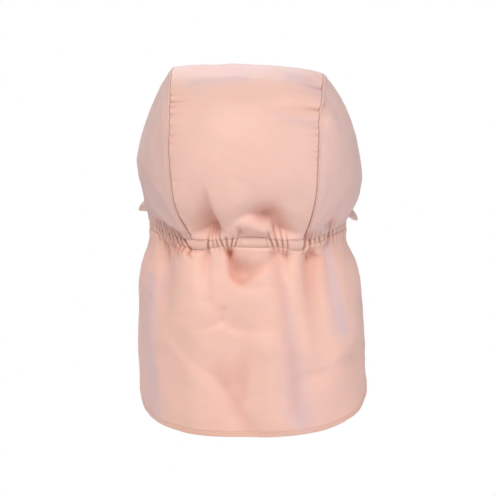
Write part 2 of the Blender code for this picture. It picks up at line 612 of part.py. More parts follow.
def flap_outline(count):
    """Half of the flap's outline in its pattern, from the temple down and along the hem to the nape."""
    low_half = (TEMPLE_ANGLE - FLAP_LOWER_SETBACK) * FLAP_HALF_WIDTH
    top_half = (TEMPLE_ANGLE - FLAP_SETBACK) * FLAP_HALF_WIDTH
    top_level = rim_level(TEMPLE_ANGLE - FLAP_SETBACK) - BAND_HEIGHT - 2 * SEAM_GAP
    bottom_level = rim_level(0.0) - BAND_HEIGHT - SEAM_GAP - FLAP_LENGTH
    corner_level = bottom_level + FLAP_CORNER_LEVEL
    rise = np.linspace(1.0, 0.0, count)
    edge = np.stack(
        [low_half + (top_half - low_half) * ease(rise), corner_level + (top_level - corner_level) * rise], axis=-1
    )
    turn = np.linspace(math.pi / 2, 0.0, 2 * count)
    power = 2 / FLAP_OUTLINE_POWER
    round_corner = np.stack(
        [
            low_half * np.sin(turn) ** power,
            corner_level - (corner_level - bottom_level) * np.maximum(np.cos(turn), 0) ** power,
        ],
        axis=-1,
    )
    return np.concatenate([edge, round_corner[1:]])


def evenly(line, count):
    """The line again with evenly spaced points."""
    length = np.concatenate([[0], np.cumsum(np.linalg.norm(np.diff(line, axis=0), axis=1))])
    wanted = np.linspace(0, length[-1], count)
    return np.stack([np.interp(wanted, length, line[:, k]) for k in range(line.shape[1])], axis=-1)


def whole_outline(inset, count):
    """The flap's outline from one temple to the other, moved in by the inset, evenly spaced."""
    half = evenly(flap_outline(60), 400)
    whole = np.concatenate([half, (half * np.array([-1, 1]))[::-1][1:]])
    tangent = unit(np.gradient(whole, axis=0))
    inwards = np.stack([tangent[:, 1], -tangent[:, 0]], axis=-1)
    return evenly(whole + inset * inwards, count)


def make_flap():
    """The neck flap: a wall that fills its outline up to the hem."""
    outline = whole_outline(HEM_WIDTH + SEAM_GAP, 801)
    corner_level = rim_level(0.0) - BAND_HEIGHT - SEAM_GAP - FLAP_LENGTH + FLAP_CORNER_LEVEL * 0.45
    low = int(np.argmin(np.abs(outline[:400, 1] - corner_level)))
    left = evenly(outline[: low + 1], FLAP_ROWS)
    right = evenly(outline[::-1][: low + 1], FLAP_ROWS)
    bottom = evenly(outline[low : len(outline) - low], FLAP_COLUMNS)
    top_x = np.linspace(left[0, 0], right[0, 0], FLAP_COLUMNS)
    top = np.stack([top_x, rim_level(top_x / FLAP_HALF_WIDTH) - BAND_HEIGHT - SEAM_GAP], axis=-1)
    left[0], right[0] = top[0], top[-1]
    u = np.linspace(0, 1, FLAP_COLUMNS)[None, :, None]
    v = np.linspace(0, 1, FLAP_ROWS)[:, None, None]
    pattern = (
        (1 - v) * top[None]
        + v * bottom[None]
        + (1 - u) * left[:, None]
        + u * right[:, None]
        - (1 - u) * (1 - v) * top[0]
        - u * (1 - v) * top[-1]
        - (1 - u) * v * bottom[0]
        - u * v * bottom[-1]
    )
    surface, _ = flap_surface(pattern)
    shell_object("neck_flap", surface, CLOTH, "flap_cloth", flap_point(0.0, top[:, 1].min()))


def make_hem():
    """The rolled hem along the flap's free edge, from temple to temple."""
    rings = []
    for spot in STRIP_SECTION:
        line = whole_outline(spot["across"] * HEM_WIDTH, HEM_SECTIONS)
        points, normals = flap_surface(line)
        out = spot["out"] * HEM_THICKNESS / 2 - CLOTH / 2
        rings.append(points + out * normals)
    middle = np.stack(rings, axis=1)[HEM_SECTIONS // 2].mean(axis=0)
    strip_object("flap_hem", np.stack(rings, axis=1), "hem_cloth", middle)


def main():
    """Builds the cap."""
    clear_scene()
    make_crown()
    make_band()
    make_peak()
    make_flap()
    make_hem()


main()
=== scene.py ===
"""The looks of a child's legionnaire cap: cloth panels, gathers, folds, hem, stitches and a plain studio.

Metres, +Z up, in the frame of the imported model: the peak points along -Y, the neck flap hangs at +Y, and
+X is the wearer's left. Angles round the cap start at the back and grow towards +X, so the front is at
180 degrees.
"""

import logging
import math
from collections.abc import Sequence
from dataclasses import dataclass, field
from enum import Enum
from functools import cache

import bmesh
import bpy
import numpy as np
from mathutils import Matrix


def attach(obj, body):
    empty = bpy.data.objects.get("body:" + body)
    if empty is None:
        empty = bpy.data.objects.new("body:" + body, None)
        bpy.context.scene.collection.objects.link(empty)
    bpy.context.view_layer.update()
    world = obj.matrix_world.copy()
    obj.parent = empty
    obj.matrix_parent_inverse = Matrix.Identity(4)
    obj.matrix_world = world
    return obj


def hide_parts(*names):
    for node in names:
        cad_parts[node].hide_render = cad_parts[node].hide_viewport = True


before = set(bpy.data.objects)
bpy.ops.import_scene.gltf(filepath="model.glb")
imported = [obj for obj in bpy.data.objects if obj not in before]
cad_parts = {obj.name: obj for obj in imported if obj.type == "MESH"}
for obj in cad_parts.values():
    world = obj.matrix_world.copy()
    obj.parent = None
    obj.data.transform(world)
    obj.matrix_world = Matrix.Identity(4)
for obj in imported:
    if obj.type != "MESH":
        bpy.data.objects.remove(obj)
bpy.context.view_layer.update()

LOG = logging.getLogger("legionnaire_cap")
BODY = "root"
MM = 0.001
TINY = 1e-12
FOLD_SAMPLES = 33
FOLD_REACH = 3.2
CREASE_FADE = 0.15
LEAN_BLUR = 0.3
BEHIND_SPAN = 0.020
BEHIND_START = 0.3

Array = np.ndarray
Colour = tuple[float, float, float]
Point = tuple[float, float, float]
Spot = tuple[float, float]


class Cloth(Enum):
    """The record's material slots."""

    CENTRE = "centre_cloth"
    SIDE = "side_cloth"
    BAND = "band_cloth"
    PEAK = "peak_cloth"
    FLAP = "flap_cloth"
    HEM = "hem_cloth"


class Side(Enum):
    """The wearer's left and right, by the sign of x."""

    LEFT = 1
    RIGHT = -1


class Edge(Enum):
    """The cloth sewn to the band's upper edge and to its lower edge, by its column of overlaps."""

    CROWN = "crown"
    FLAP = "flap"


@dataclass(frozen=True)
class RimLevel:
    """The rim's height at an angle: back is a share of its drop behind, front of its rise before."""

    degrees: float
    back: float
    front: float


@dataclass(frozen=True)
class CrownSection:
    """A section across the centre panel, from the peak over the top to the nape.

    y is a share of the crown's half depth, z of its height and seam_x of the panel's half width. sway
    moves the section sideways, and foot is where its side column meets the rim, in degrees.
    """

    y: float
    z: float
    seam_x: float
    seam_y: float
    seam_z: float
    sway: float
    foot: float


@dataclass(frozen=True)
class SideSection:
    """How far a side panel stands out, at a share of the way down from the seam to the rim."""

    drop: float
    left: float
    right: float


@dataclass(frozen=True)
class PeakSpot:
    """A spot of the peak's edge, from its middle to the temple: x, y and droop as shares of its sizes."""

    x: float
    y: float
    droop: float


@dataclass(frozen=True)
class Flare:
    """How far the flap has spread from the band's size to its own, at a share of its length."""

    down: float
    side: float
    back: float


@dataclass(frozen=True)
class StripSpot:
    """A spot of a sewn strip's section: across its width, and out from its middle by half its thickness."""

    across: float
    out: float


@dataclass(frozen=True)
class Fold:
    """A bent stroke pressed into the cloth, as seen from behind, in millimetres of x and z.

    wide and deep are its half width and depth at its start and its end, and a negative depth swells out.
    lean is from -1 to 1: above 0 the side on the left of the stroke's way is wide and its right side
    steep, with x to the right and z up. sharp is 0 for a soft hollow and 1 for a crease.
    """

    start: Spot
    bend: Spot
    end: Spot
    wide: Spot
    deep: Spot
    lean: float = 0.0
    sharp: float = 0.0


@dataclass(frozen=True)
class GatherRun:
    """A run of small gathers along the band, in degrees round the cap and in metres.

    slant is how many degrees a crease moves on over the band's height, and up and down are how far it
    reaches into the crown and the flap.
    """

    start: float
    end: float
    count: int
    deep: float
    slant: float
    up: float
    down: float


@dataclass(frozen=True)
class Gather:
    """One crease of the gathered band at an angle; deep, wide, up and down are in millimetres."""

    degrees: float
    deep: float
    wide: float
    slant: float
    up: float
    down: float


@dataclass(frozen=True)
class Overlap:
    """How far the crown and the flap overlap the band's edges at an angle, in millimetres."""

    degrees: float
    crown: float
    flap: float


@dataclass(frozen=True)
class PuckerRun:
    """Short wrinkles that cross a crown seam, between two heights behind."""

    side: Side
    low: float
    high: float
    pitch: float
    deep: float
    reach: float


@dataclass(frozen=True)
class Cusp:
    """A crease's section: steep beside its line, and rounded where it is deepest."""

    steep: float
    blunt: float
    top: float

    def at(self, away: Array, wide: Array | float) -> Array:
        """The depth as a share of the deepest, at a distance from the crease's line."""
        return np.exp(-self.steep * (np.sqrt((away / wide) ** 2 + self.blunt) - self.top))


@dataclass(frozen=True)
class Swell:
    """A soft unevenness of the cloth: its height, how far across its swells are, and its seed."""

    high: float
    size: float
    seed: int
    waves: int = 14
    spread: Spot = (0.7, 1.4)

    def over(self, points: Array) -> Array:
        """The cloth's unevenness at each point.

        Args:
            points: Points on the cloth.

        Returns:
            Heights of about high either way, the same for one seed.
        """
        chance = np.random.default_rng(self.seed)
        total = np.zeros(points.shape[:-1])
        for _ in range(self.waves):
            way = unit(chance.normal(size=3)) / self.size * chance.uniform(*self.spread)
            total += np.cos(2 * math.pi * points @ way + chance.uniform(0, 2 * math.pi))
        return self.high * (total / math.sqrt(self.waves))


@dataclass(frozen=True)
class Lamp:
    """A soft square light that faces the cap."""

    name: str
    place: Point
    size: float
    power: float
    colour: Colour


FOLD_CUSP = Cusp(steep=1.3, blunt=0.02, top=0.14)

RIM_LEVELS = (
    RimLevel(degrees=0, back=-0.28, front=0.0),
    RimLevel(degrees=14, back=-0.42, front=0.0),
    RimLevel(degrees=30, back=-0.83, front=0.0),
    RimLevel(degrees=48, back=-0.15, front=0.0),
    RimLevel(degrees=66, back=0.60, front=0.0),
    RimLevel(degrees=90, back=0.75, front=0.03),
    RimLevel(degrees=120, back=0.7, front=0.20),
    RimLevel(degrees=150, back=0.0, front=0.80),
    RimLevel(degrees=180, back=0.0, front=1.0),
)

CROWN_SECTIONS = (
    CrownSection(y=-0.873, z=0.130, seam_x=0.803, seam_y=-0.688, seam_z=0.110, sway=0.00, foot=142),
    CrownSection(y=-0.925, z=0.270, seam_x=0.930, seam_y=-0.725, seam_z=0.250, sway=0.00, foot=139),
    CrownSection(y=-0.940, z=0.450, seam_x=0.985, seam_y=-0.735, seam_z=0.430, sway=0.00, foot=135),
    CrownSection(y=-0.875, z=0.700, seam_x=1.010, seam_y=-0.690, seam_z=0.670, sway=0.00, foot=129),
    CrownSection(y=-0.670, z=0.890, seam_x=1.015, seam_y=-0.530, seam_z=0.850, sway=0.00, foot=119),
    CrownSection(y=-0.340, z=0.980, seam_x=1.010, seam_y=-0.290, seam_z=0.940, sway=0.00, foot=105),
    CrownSection(y=0.050, z=1.000, seam_x=1.000, seam_y=0.040, seam_z=0.965, sway=0.00, foot=88),
    CrownSection(y=0.420, z=0.965, seam_x=1.000, seam_y=0.370, seam_z=0.930, sway=0.01, foot=71),
    CrownSection(y=0.750, z=0.840, seam_x=0.985, seam_y=0.630, seam_z=0.805, sway=0.03, foot=57),
    CrownSection(y=0.930, z=0.640, seam_x=0.965, seam_y=0.765, seam_z=0.620, sway=0.05, foot=47),
    CrownSection(y=1.000, z=0.400, seam_x=0.950, seam_y=0.820, seam_z=0.385, sway=0.05, foot=41),
    CrownSection(y=0.985, z=0.170, seam_x=0.895, seam_y=0.805, seam_z=0.160, sway=0.04, foot=37),
    CrownSection(y=0.873, z=0.020, seam_x=0.729, seam_y=0.723, seam_z=0.000, sway=0.00, foot=34),
)

SIDE_SECTIONS = (
    SideSection(drop=0.00, left=0.00, right=0.00),
    SideSection(drop=0.11, left=0.37, right=0.41),
    SideSection(drop=0.27, left=0.69, right=0.80),
    SideSection(drop=0.43, left=0.91, right=0.99),
    SideSection(drop=0.57, left=0.97, right=1.00),
    SideSection(drop=0.69, left=0.82, right=0.99),
    SideSection(drop=0.82, left=0.54, right=0.80),
    SideSection(drop=0.92, left=0.32, right=0.46),
    SideSection(drop=1.00, left=0.00, right=0.00),
)

PEAK_EDGE = (
    PeakSpot(x=0.000, y=1.000, droop=0.00),
    PeakSpot(x=0.250, y=0.975, droop=0.02),
    PeakSpot(x=0.480, y=0.890, droop=0.09),
    PeakSpot(x=0.690, y=0.700, droop=0.24),
    PeakSpot(x=0.860, y=0.390, droop=0.50),
    PeakSpot(x=0.965, y=0.000, droop=0.78),
    PeakSpot(x=1.000, y=-0.380, droop=1.00),
    PeakSpot(x=0.945, y=-0.640, droop=0.90),
    PeakSpot(x=0.830, y=-0.760, droop=0.60),
)

FLAP_FLARE = (
    Flare(down=0.00, side=0.00, back=0.00),
    Flare(down=0.08, side=0.16, back=0.10),
    Flare(down=0.20, side=0.62, back=0.34),
    Flare(down=0.32, side=0.86, back=0.56),
    Flare(down=0.55, side=0.95, back=0.80),
    Flare(down=1.00, side=1.00, back=1.00),
)

# The band's casing: its edges turn in, a stitch line pinches it near each, and the elastic fills its middle
BAND_SECTION = (
    StripSpot(across=0.00, out=-1.00),
    StripSpot(across=0.00, out=-0.30),
    StripSpot(across=0.02, out=0.25),
    StripSpot(across=0.07, out=0.62),
    StripSpot(across=0.13, out=0.52),
    StripSpot(across=0.19, out=0.70),
    StripSpot(across=0.28, out=0.90),
    StripSpot(across=0.38, out=0.98),
    StripSpot(across=0.50, out=1.00),
    StripSpot(across=0.62, out=0.98),
    StripSpot(across=0.72, out=0.90),
    StripSpot(across=0.81, out=0.70),
    StripSpot(across=0.87, out=0.52),
    StripSpot(across=0.93, out=0.62),
    StripSpot(across=0.98, out=0.25),
    StripSpot(across=1.00, out=-0.30),
    StripSpot(across=1.00, out=-1.00),
    StripSpot(across=0.50, out=-1.00),
)

# The hem: cloth turned over twice, with a stitch line near its inner edge
HEM_SECTION = (
    StripSpot(across=0.02, out=-0.70),
    StripSpot(across=0.00, out=-0.20),
    StripSpot(across=0.02, out=0.35),
    StripSpot(across=0.08, out=0.75),
    StripSpot(across=0.20, out=0.95),
    StripSpot(across=0.38, out=0.92),
    StripSpot(across=0.55, out=0.92),
    StripSpot(across=0.66, out=0.93),
    StripSpot(across=0.72, out=0.82),
    StripSpot(across=0.78, out=0.93),
    StripSpot(across=0.90, out=0.92),
    StripSpot(across=0.98, out=0.70),
    StripSpot(across=1.00, out=0.20),
    StripSpot(across=0.98, out=-0.80),
    StripSpot(across=0.50, out=-1.00),
)

CROWN_FOLDS = (
    Fold(
        start=(32, 33), bend=(29, 14), end=(23.5, -3),
        wide=(3.5, 10), deep=(1.2, 12.5), lean=0.45, sharp=0.15,
    ),
    Fold(start=(13, 6), bend=(2, 18), end=(-12, 10), wide=(4, 7), deep=(1.2, 7.0), lean=-0.6, sharp=0.15),
    Fold(start=(-12, 10), bend=(-21, 11), end=(-22, -3), wide=(7, 8), deep=(5.5, 9.0), lean=-0.5, sharp=0.15),
    Fold(start=(9, 5), bend=(0, 8), end=(-14, 3), wide=(4, 4), deep=(-2.0, -2.4)),
    Fold(start=(9, 5), bend=(6, 4), end=(4, 0), wide=(2.5, 2.5), deep=(1.6, 3.2), sharp=0.3),
    Fold(
        start=(-68, 17), bend=(-63, 10), end=(-58.5, 4),
        wide=(2.6, 3), deep=(0.6, 4.6), lean=-0.3, sharp=0.3,
    ),
    Fold(start=(78, 40), bend=(74, 14), end=(44, 0), wide=(3, 3.5), deep=(-0.6, -2.2), sharp=0.5),
    Fold(start=(81, 32), bend=(72, 8), end=(52, -2), wide=(4, 4), deep=(0.5, 3.0), lean=0.3),
    Fold(start=(-16, 90), bend=(-34, 93), end=(-55, 88), wide=(4, 4.5), deep=(0.5, 3.0), sharp=0.2),
    Fold(start=(-20, 83), bend=(-38, 82), end=(-52, 80), wide=(3, 3.5), deep=(0.3, 2.2), sharp=0.3),
    Fold(start=(-57, 84), bend=(-60, 81), end=(-63, 76), wide=(4, 4), deep=(-2.4, -0.8)),
    Fold(start=(-58, 92), bend=(-62, 91), end=(-66, 88), wide=(3, 3), deep=(1.8, 0.8), sharp=0.2),
    Fold(start=(-20, 24), bend=(-30, 30), end=(-44, 22), wide=(9, 9), deep=(1.6, 0.4)),
    Fold(start=(44, 40), bend=(40, 22), end=(42, 4), wide=(7, 8), deep=(0.4, 1.8)),
    Fold(start=(12, 46), bend=(4, 34), end=(-6, 26), wide=(9, 7), deep=(0.3, 1.0)),
    Fold(start=(52, 96), bend=(40, 92), end=(26, 98), wide=(6, 5), deep=(1.2, 0.3)),
)

FLAP_FOLDS = (
    Fold(
        start=(15, -8), bend=(14.5, -18), end=(10, -29),
        wide=(2.4, 6), deep=(6.5, 4.2), lean=-0.5, sharp=0.25,
    ),
    Fold(start=(12, -27), bend=(4, -40), end=(-16, -36), wide=(5, 6), deep=(4.6, 0.8), lean=-0.6),
    Fold(start=(0, -26), bend=(-10, -24), end=(-17, -17), wide=(7, 5), deep=(5.4, 2.4), lean=-0.3),
    Fold(start=(-27, -8), bend=(-29, -14), end=(-31, -30), wide=(2.4, 7), deep=(6.0, 1.4), sharp=0.3),
    Fold(
        start=(-46, -8), bend=(-46.5, -16), end=(-54, -17.6),
        wide=(2.1, 1.6), deep=(6.0, 1.6), lean=0.4, sharp=0.5,
    ),
    Fold(start=(-20, -13), bend=(-26, -50), end=(-33, -124), wide=(3.5, 10), deep=(3.4, 3.4), lean=0.25),
    Fold(start=(-46, -20), bend=(-42, -50), end=(-57, -84), wide=(8, 9), deep=(6.4, 2.0)),
    Fold(start=(-57, -6), bend=(-59, -30), end=(-66, -70), wide=(2.4, 7), deep=(2.4, 2.2), sharp=0.2),
    Fold(start=(-37, -20), bend=(-36, -50), end=(-43, -84), wide=(6, 8), deep=(-2.0, -2.2)),
    Fold(start=(11, -65), bend=(1, -66), end=(-12, -68), wide=(7, 7), deep=(2.6, 1.6), lean=-0.5),
    Fold(start=(35, -68), bend=(28, -67), end=(19, -61), wide=(3, 3), deep=(0.8, 2.2), lean=-0.5, sharp=0.2),
    Fold(start=(25, -57), bend=(21, -55.5), end=(17, -54), wide=(2.5, 2.5), deep=(0.4, 1.6), lean=-0.4),
    Fold(start=(43, -18), bend=(42, -34), end=(38, -58), wide=(12, 15), deep=(-6.0, -3.4)),
    Fold(start=(30, -13), bend=(29.5, -26), end=(30, -46), wide=(2.8, 4.5), deep=(5.2, 1.6), sharp=0.1),
    Fold(start=(55, -8), bend=(60, -36), end=(66, -84), wide=(4, 8), deep=(6.0, 1.2)),
    Fold(start=(66, -84), bend=(68, -104), end=(66, -128), wide=(8, 9), deep=(1.0, 1.4)),
    Fold(start=(63.5, -2), bend=(64, -8), end=(63, -20), wide=(2.6, 3.4), deep=(5.0, 1.6), sharp=0.3),
    Fold(start=(43, -7), bend=(42, -9), end=(40, -12), wide=(2.4, 2.6), deep=(5.0, 1.4), sharp=0.3),
    Fold(start=(55, -76), bend=(40, -90), end=(19, -103), wide=(6, 12), deep=(1.2, 3.8), lean=-0.5),
    Fold(start=(2, -74), bend=(2, -92), end=(4, -116), wide=(7, 8), deep=(1.6, 3.4)),
    Fold(start=(17, -109), bend=(10, -122), end=(-2, -138), wide=(5, 7), deep=(1.8, 3.2), lean=0.3),
    Fold(start=(-38, -101), bend=(-58, -101), end=(-76, -91), wide=(4.5, 8), deep=(1.2, 3.0), lean=0.35),
    Fold(start=(-16, -84), bend=(-14, -108), end=(-16, -132), wide=(9, 11), deep=(-3.0, -3.6)),
    Fold(start=(34, -84), bend=(40, -104), end=(38, -128), wide=(10, 11), deep=(-2.0, -2.6)),
    Fold(start=(-62, -58), bend=(-68, -80), end=(-62, -96), wide=(10, 12), deep=(-1.6, -3.0)),
)

# Painted sheen: where the cloth's sheen turns cooler, a lilac tint is painted into its colour; strokes as the
# folds are, with the tint's strength as their depth
LILAC_SHEEN_STRIPS = (
    Fold(start=(70, -35), bend=(75, -85), end=(68, -132), wide=(5, 7), deep=(0.7, 0.6)),
    Fold(start=(-25, -38), bend=(-31, -80), end=(-38, -132), wide=(3.5, 9), deep=(0.4, 0.75)),
    Fold(start=(-58, -9), bend=(-61, -38), end=(-68, -70), wide=(2.4, 6), deep=(0.8, 0.8)),
    Fold(start=(57, -10), bend=(58, -25), end=(62, -45), wide=(2, 3), deep=(0.7, 0.5)),
    Fold(start=(42, 107), bend=(22, 108), end=(2, 112), wide=(4, 4), deep=(0.5, 0.4)),
    Fold(start=(-30, 112), bend=(-42, 110), end=(-52, 100), wide=(4, 5), deep=(0.6, 0.6)),
    Fold(start=(-20, 86), bend=(-34, 80), end=(-47, 79), wide=(3, 3), deep=(0.3, 0.45)),
)

# The creases that show behind
GATHERS = (
    Gather(degrees=66.5, deep=2.2, wide=2.4, slant=-1.8, up=4, down=6),
    Gather(degrees=62.4, deep=2.8, wide=2.2, slant=-2.4, up=3, down=7),
    Gather(degrees=58.6, deep=3.4, wide=2.3, slant=-2.6, up=3, down=12),
    Gather(degrees=54.6, deep=2.2, wide=1.9, slant=-2.4, up=4, down=4),
    Gather(degrees=51.4, deep=3.4, wide=2.2, slant=-3.0, up=3, down=9),
    Gather(degrees=48.0, deep=2.4, wide=1.9, slant=-2.6, up=3, down=4),
    Gather(degrees=44.6, deep=3.5, wide=2.2, slant=-3.2, up=4, down=7),
    Gather(degrees=41.2, deep=2.6, wide=1.9, slant=-3.2, up=3, down=5),
    Gather(degrees=37.6, deep=3.4, wide=2.3, slant=-4.6, up=5, down=6),
    Gather(degrees=23.1, deep=2.6, wide=1.9, slant=0.0, up=3, down=3),
    Gather(degrees=20.0, deep=1.7, wide=1.6, slant=-1.0, up=6, down=1.5),
    Gather(degrees=17.6, deep=1.9, wide=1.6, slant=-1.4, up=6, down=2),
    Gather(degrees=15.0, deep=2.4, wide=1.8, slant=-2.0, up=6, down=3),
    Gather(degrees=12.0, deep=2.4, wide=2.1, slant=-0.6, up=1.5, down=12),
    Gather(degrees=9.0, deep=2.2, wide=1.8, slant=1.0, up=2, down=4),
    Gather(degrees=6.6, deep=2.0, wide=1.6, slant=1.6, up=5, down=2),
    Gather(degrees=4.4, deep=1.0, wide=1.6, slant=0.4, up=7, down=0.6),
    Gather(degrees=-10.6, deep=1.3, wide=1.6, slant=-0.8, up=4, down=1),
    Gather(degrees=-13.4, deep=2.3, wide=1.8, slant=-2.2, up=5, down=2.5),
    Gather(degrees=-16.6, deep=2.6, wide=1.9, slant=-1.6, up=8, down=3),
    Gather(degrees=-19.9, deep=2.2, wide=1.9, slant=-0.8, up=5, down=5),
    Gather(degrees=-23.0, deep=2.0, wide=1.8, slant=-0.4, up=3, down=8),
    Gather(degrees=-34.2, deep=2.4, wide=2.4, slant=0.8, up=5, down=3),
    Gather(degrees=-37.8, deep=2.6, wide=2.3, slant=-0.4, up=4, down=9),
    Gather(degrees=-41.4, deep=1.6, wide=1.9, slant=-0.8, up=4, down=3),
    Gather(degrees=-45.0, deep=2.0, wide=2.1, slant=-1.2, up=4, down=3),
    Gather(degrees=-49.2, deep=1.4, wide=2.1, slant=-0.6, up=4, down=3),
    Gather(degrees=-53.6, deep=3.2, wide=2.6, slant=0.6, up=6, down=4),
    Gather(degrees=-58.0, deep=1.9, wide=2.3, slant=0.0, up=5, down=5),
    Gather(degrees=-62.5, deep=1.6, wide=2.1, slant=0.4, up=4, down=7),
    Gather(degrees=-66.8, deep=1.6, wide=2.1, slant=0.4, up=4, down=6),
)

# The runs of creases at the sides, which the elastic draws in more evenly
GATHER_RUNS = (
    GatherRun(start=-114, end=-69, count=11, deep=0.0017, slant=0.4, up=0.005, down=0.009),
    GatherRun(start=69, end=114, count=11, deep=0.0017, slant=-0.6, up=0.005, down=0.009),
)

OVERLAPS = (
    Overlap(degrees=-119, crown=0.0, flap=0.0),
    Overlap(degrees=-110, crown=0.5, flap=0.5),
    Overlap(degrees=-60, crown=0.9, flap=0.9),
    Overlap(degrees=-48, crown=1.1, flap=1.0),
    Overlap(degrees=-38, crown=0.9, flap=0.9),
    Overlap(degrees=-31, crown=0.0, flap=0.0),
    Overlap(degrees=-26, crown=0.0, flap=0.0),
    Overlap(degrees=-22, crown=0.6, flap=0.6),
    Overlap(degrees=-13, crown=0.7, flap=0.3),
    Overlap(degrees=-9, crown=0.0, flap=0.0),
    Overlap(degrees=3, crown=0.0, flap=0.0),
    Overlap(degrees=7, crown=0.6, flap=0.4),
    Overlap(degrees=21, crown=0.7, flap=0.5),
    Overlap(degrees=26, crown=0.0, flap=0.0),
    Overlap(degrees=34, crown=0.0, flap=0.0),
    Overlap(degrees=40, crown=0.8, flap=0.3),
    Overlap(degrees=60, crown=0.8, flap=0.2),
    Overlap(degrees=80, crown=0.8, flap=0.7),
    Overlap(degrees=110, crown=0.5, flap=0.5),
    Overlap(degrees=119, crown=0.0, flap=0.0),
)

PUCKER_RUNS = (
    PuckerRun(side=Side.LEFT, low=0.058, high=0.104, pitch=0.0068, deep=0.00095, reach=0.009),
    PuckerRun(side=Side.LEFT, low=0.060, high=0.100, pitch=0.0031, deep=0.00030, reach=0.004),
    PuckerRun(side=Side.RIGHT, low=0.080, high=0.108, pitch=0.0075, deep=0.00120, reach=0.012),
    PuckerRun(side=Side.RIGHT, low=0.040, high=0.082, pitch=0.0054, deep=0.00055, reach=0.007),
    PuckerRun(side=Side.LEFT, low=0.006, high=0.056, pitch=0.0062, deep=0.00028, reach=0.006),
)


def column(table: Sequence[object], name: str) -> Array:
    """One named column of a table of rows as an array."""
    return np.array([getattr(row, name) for row in table], float)


def smooth_through(table: Sequence[object], across: str, up: str, wanted: Array) -> Array:
    """A smooth curve through one column of a table over another, which doesn't overshoot.

    Args:
        table: The rows.
        across: The column of places, which rises from row to row.
        up: The column of the values there.
        wanted: The places to read the curve at.

    Returns:
        The curve's value at each wanted place.
    """
    known, values = column(table, across), column(table, up)
    steps = np.diff(values) / np.diff(known)
    slopes = np.empty_like(values)
    slopes[0], slopes[-1] = steps[0], steps[-1]
    before, after = steps[:-1], steps[1:]
    total = np.where(np.abs(before + after) < TINY, 1.0, before + after)
    slopes[1:-1] = np.where(before * after > 0, 2 * before * after / total, 0.0)
    wanted = np.clip(np.asarray(wanted, float), known[0], known[-1])
    i = np.clip(np.searchsorted(known, wanted, side="right") - 1, 0, len(known) - 2)
    width = known[i + 1] - known[i]
    t = (wanted - known[i]) / width
    rise = (1 + 2 * t) * (1 - t) ** 2 * values[i] + t**2 * (3 - 2 * t) * values[i + 1]
    return rise + width * t * (1 - t) * ((1 - t) * slopes[i] - t * slopes[i + 1])


def round_through(table: Sequence[object], name: str, wanted: Array) -> Array:
    """A round curve (Catmull-Rom) through one column of a table.

    Args:
        table: The rows, which count as evenly spaced.
        name: The column.
        wanted: The row numbers to read the curve at, which may lie between rows.

    Returns:
        The curve's value at each wanted number.
    """
    values = column(table, name)
    padded = np.concatenate([[2 * values[0] - values[1]], values, [2 * values[-1] - values[-2]]])
    i = np.clip(np.floor(wanted).astype(int), 0, len(values) - 2)
    t = wanted - i
    a, b, c, d = padded[i], padded[i + 1], padded[i + 2], padded[i + 3]
    return b + 0.5 * t * (c - a + t * (2 * a - 5 * b + 4 * c - d + t * (3 * (b - c) + d - a)))


def ease(value: Array) -> Array:
    """0 below 0 and 1 above 1, with a smooth step between."""
    value = np.clip(value, 0.0, 1.0)
    return value * value * (3 - 2 * value)


def bell(away: Array, wide: Array | float, power: float = 2) -> Array:
    """1 where away is 0, and nothing a few widths off; a higher power makes the top flatter."""
    return np.exp(-((away / wide) ** power))


def unit(vectors: Array) -> Array:
    """The vectors at length one."""
    return vectors / np.maximum(np.linalg.norm(vectors, axis=-1, keepdims=True), TINY)


def grid_normals(grid: Array) -> Array:
    """Normals of a grid of points, from its own slopes."""
    return unit(np.cross(np.gradient(grid, axis=0), np.gradient(grid, axis=1)))


def graded(length: float, grading: Sequence[Spot]) -> Array:
    """Places from 0 to a length, closer together where the cloth needs more points.

    Args:
        length: The last place.
        grading: Pairs of a place and the spacing there.

    Returns:
        The places.
    """
    places, spacings = zip(*grading)
    stops = [0.0]
    while stops[-1] < length:
        stops.append(stops[-1] + float(np.interp(stops[-1], places, spacings)))
    return np.array(stops) * length / stops[-1]


def shares(grading: Sequence[Spot], length: float) -> list[Spot]:
    """A grading's places and steps as shares of a length."""
    return [(at / length, step / length) for at, step in grading]


def lengths(points: Array, axis: int) -> Array:
    """How far each point of a grid lies from the grid's first edge, along the cloth.

    Args:
        points: A line or a grid of points.
        axis: The axis to measure along.

    Returns:
        The lengths, in the grid's own shape.
    """
    steps = np.linalg.norm(np.diff(points, axis=axis), axis=-1)
    start = np.zeros_like(np.take(steps, [0], axis=axis))
    return np.concatenate([start, np.cumsum(steps, axis=axis)], axis=axis)


def at_places(values: Array, along: Array, wanted: Array | float) -> Array:
    """The values of a line's points, read at other places along it."""
    return np.stack([np.interp(wanted, along, values[:, k]) for k in range(values.shape[1])], axis=-1)


def evenly(line: Array, count: int) -> Array:
    """The line again with evenly spaced points."""
    along = lengths(line, 0)
    return at_places(line, along, np.linspace(0, along[-1], count))


def ring_faces(count: int, around: int) -> Array:
    """The faces of a tube of points.

    Args:
        count: How many rings the tube has.
        around: How many points each ring has.

    Returns:
        The numbers of each face's four points.
    """
    number = np.arange(count * around).reshape(count, around)
    after = np.roll(number, -1, axis=1)
    return np.stack([number[:-1], after[:-1], after[1:], number[1:]], axis=-1).reshape(-1, 4)


def fold_depth(points: Array, folds: Sequence[Fold]) -> Array:
    """How deep some folds press in together at each point.

    Args:
        points: Points on the cloth, in metres.
        folds: The folds.

    Returns:
        The depth at each point, in metres, which is 0 on the cap's front.
    """
    flat = points.reshape(-1, 3)
    place = flat[:, (0, 2)] / MM
    depth = np.zeros(len(flat))
    for fold in folds:
        depth += one_fold(place, fold) * MM
    behind = ease(flat[:, 1] / BEHIND_SPAN + BEHIND_START)
    return (depth * behind).reshape(points.shape[:-1])


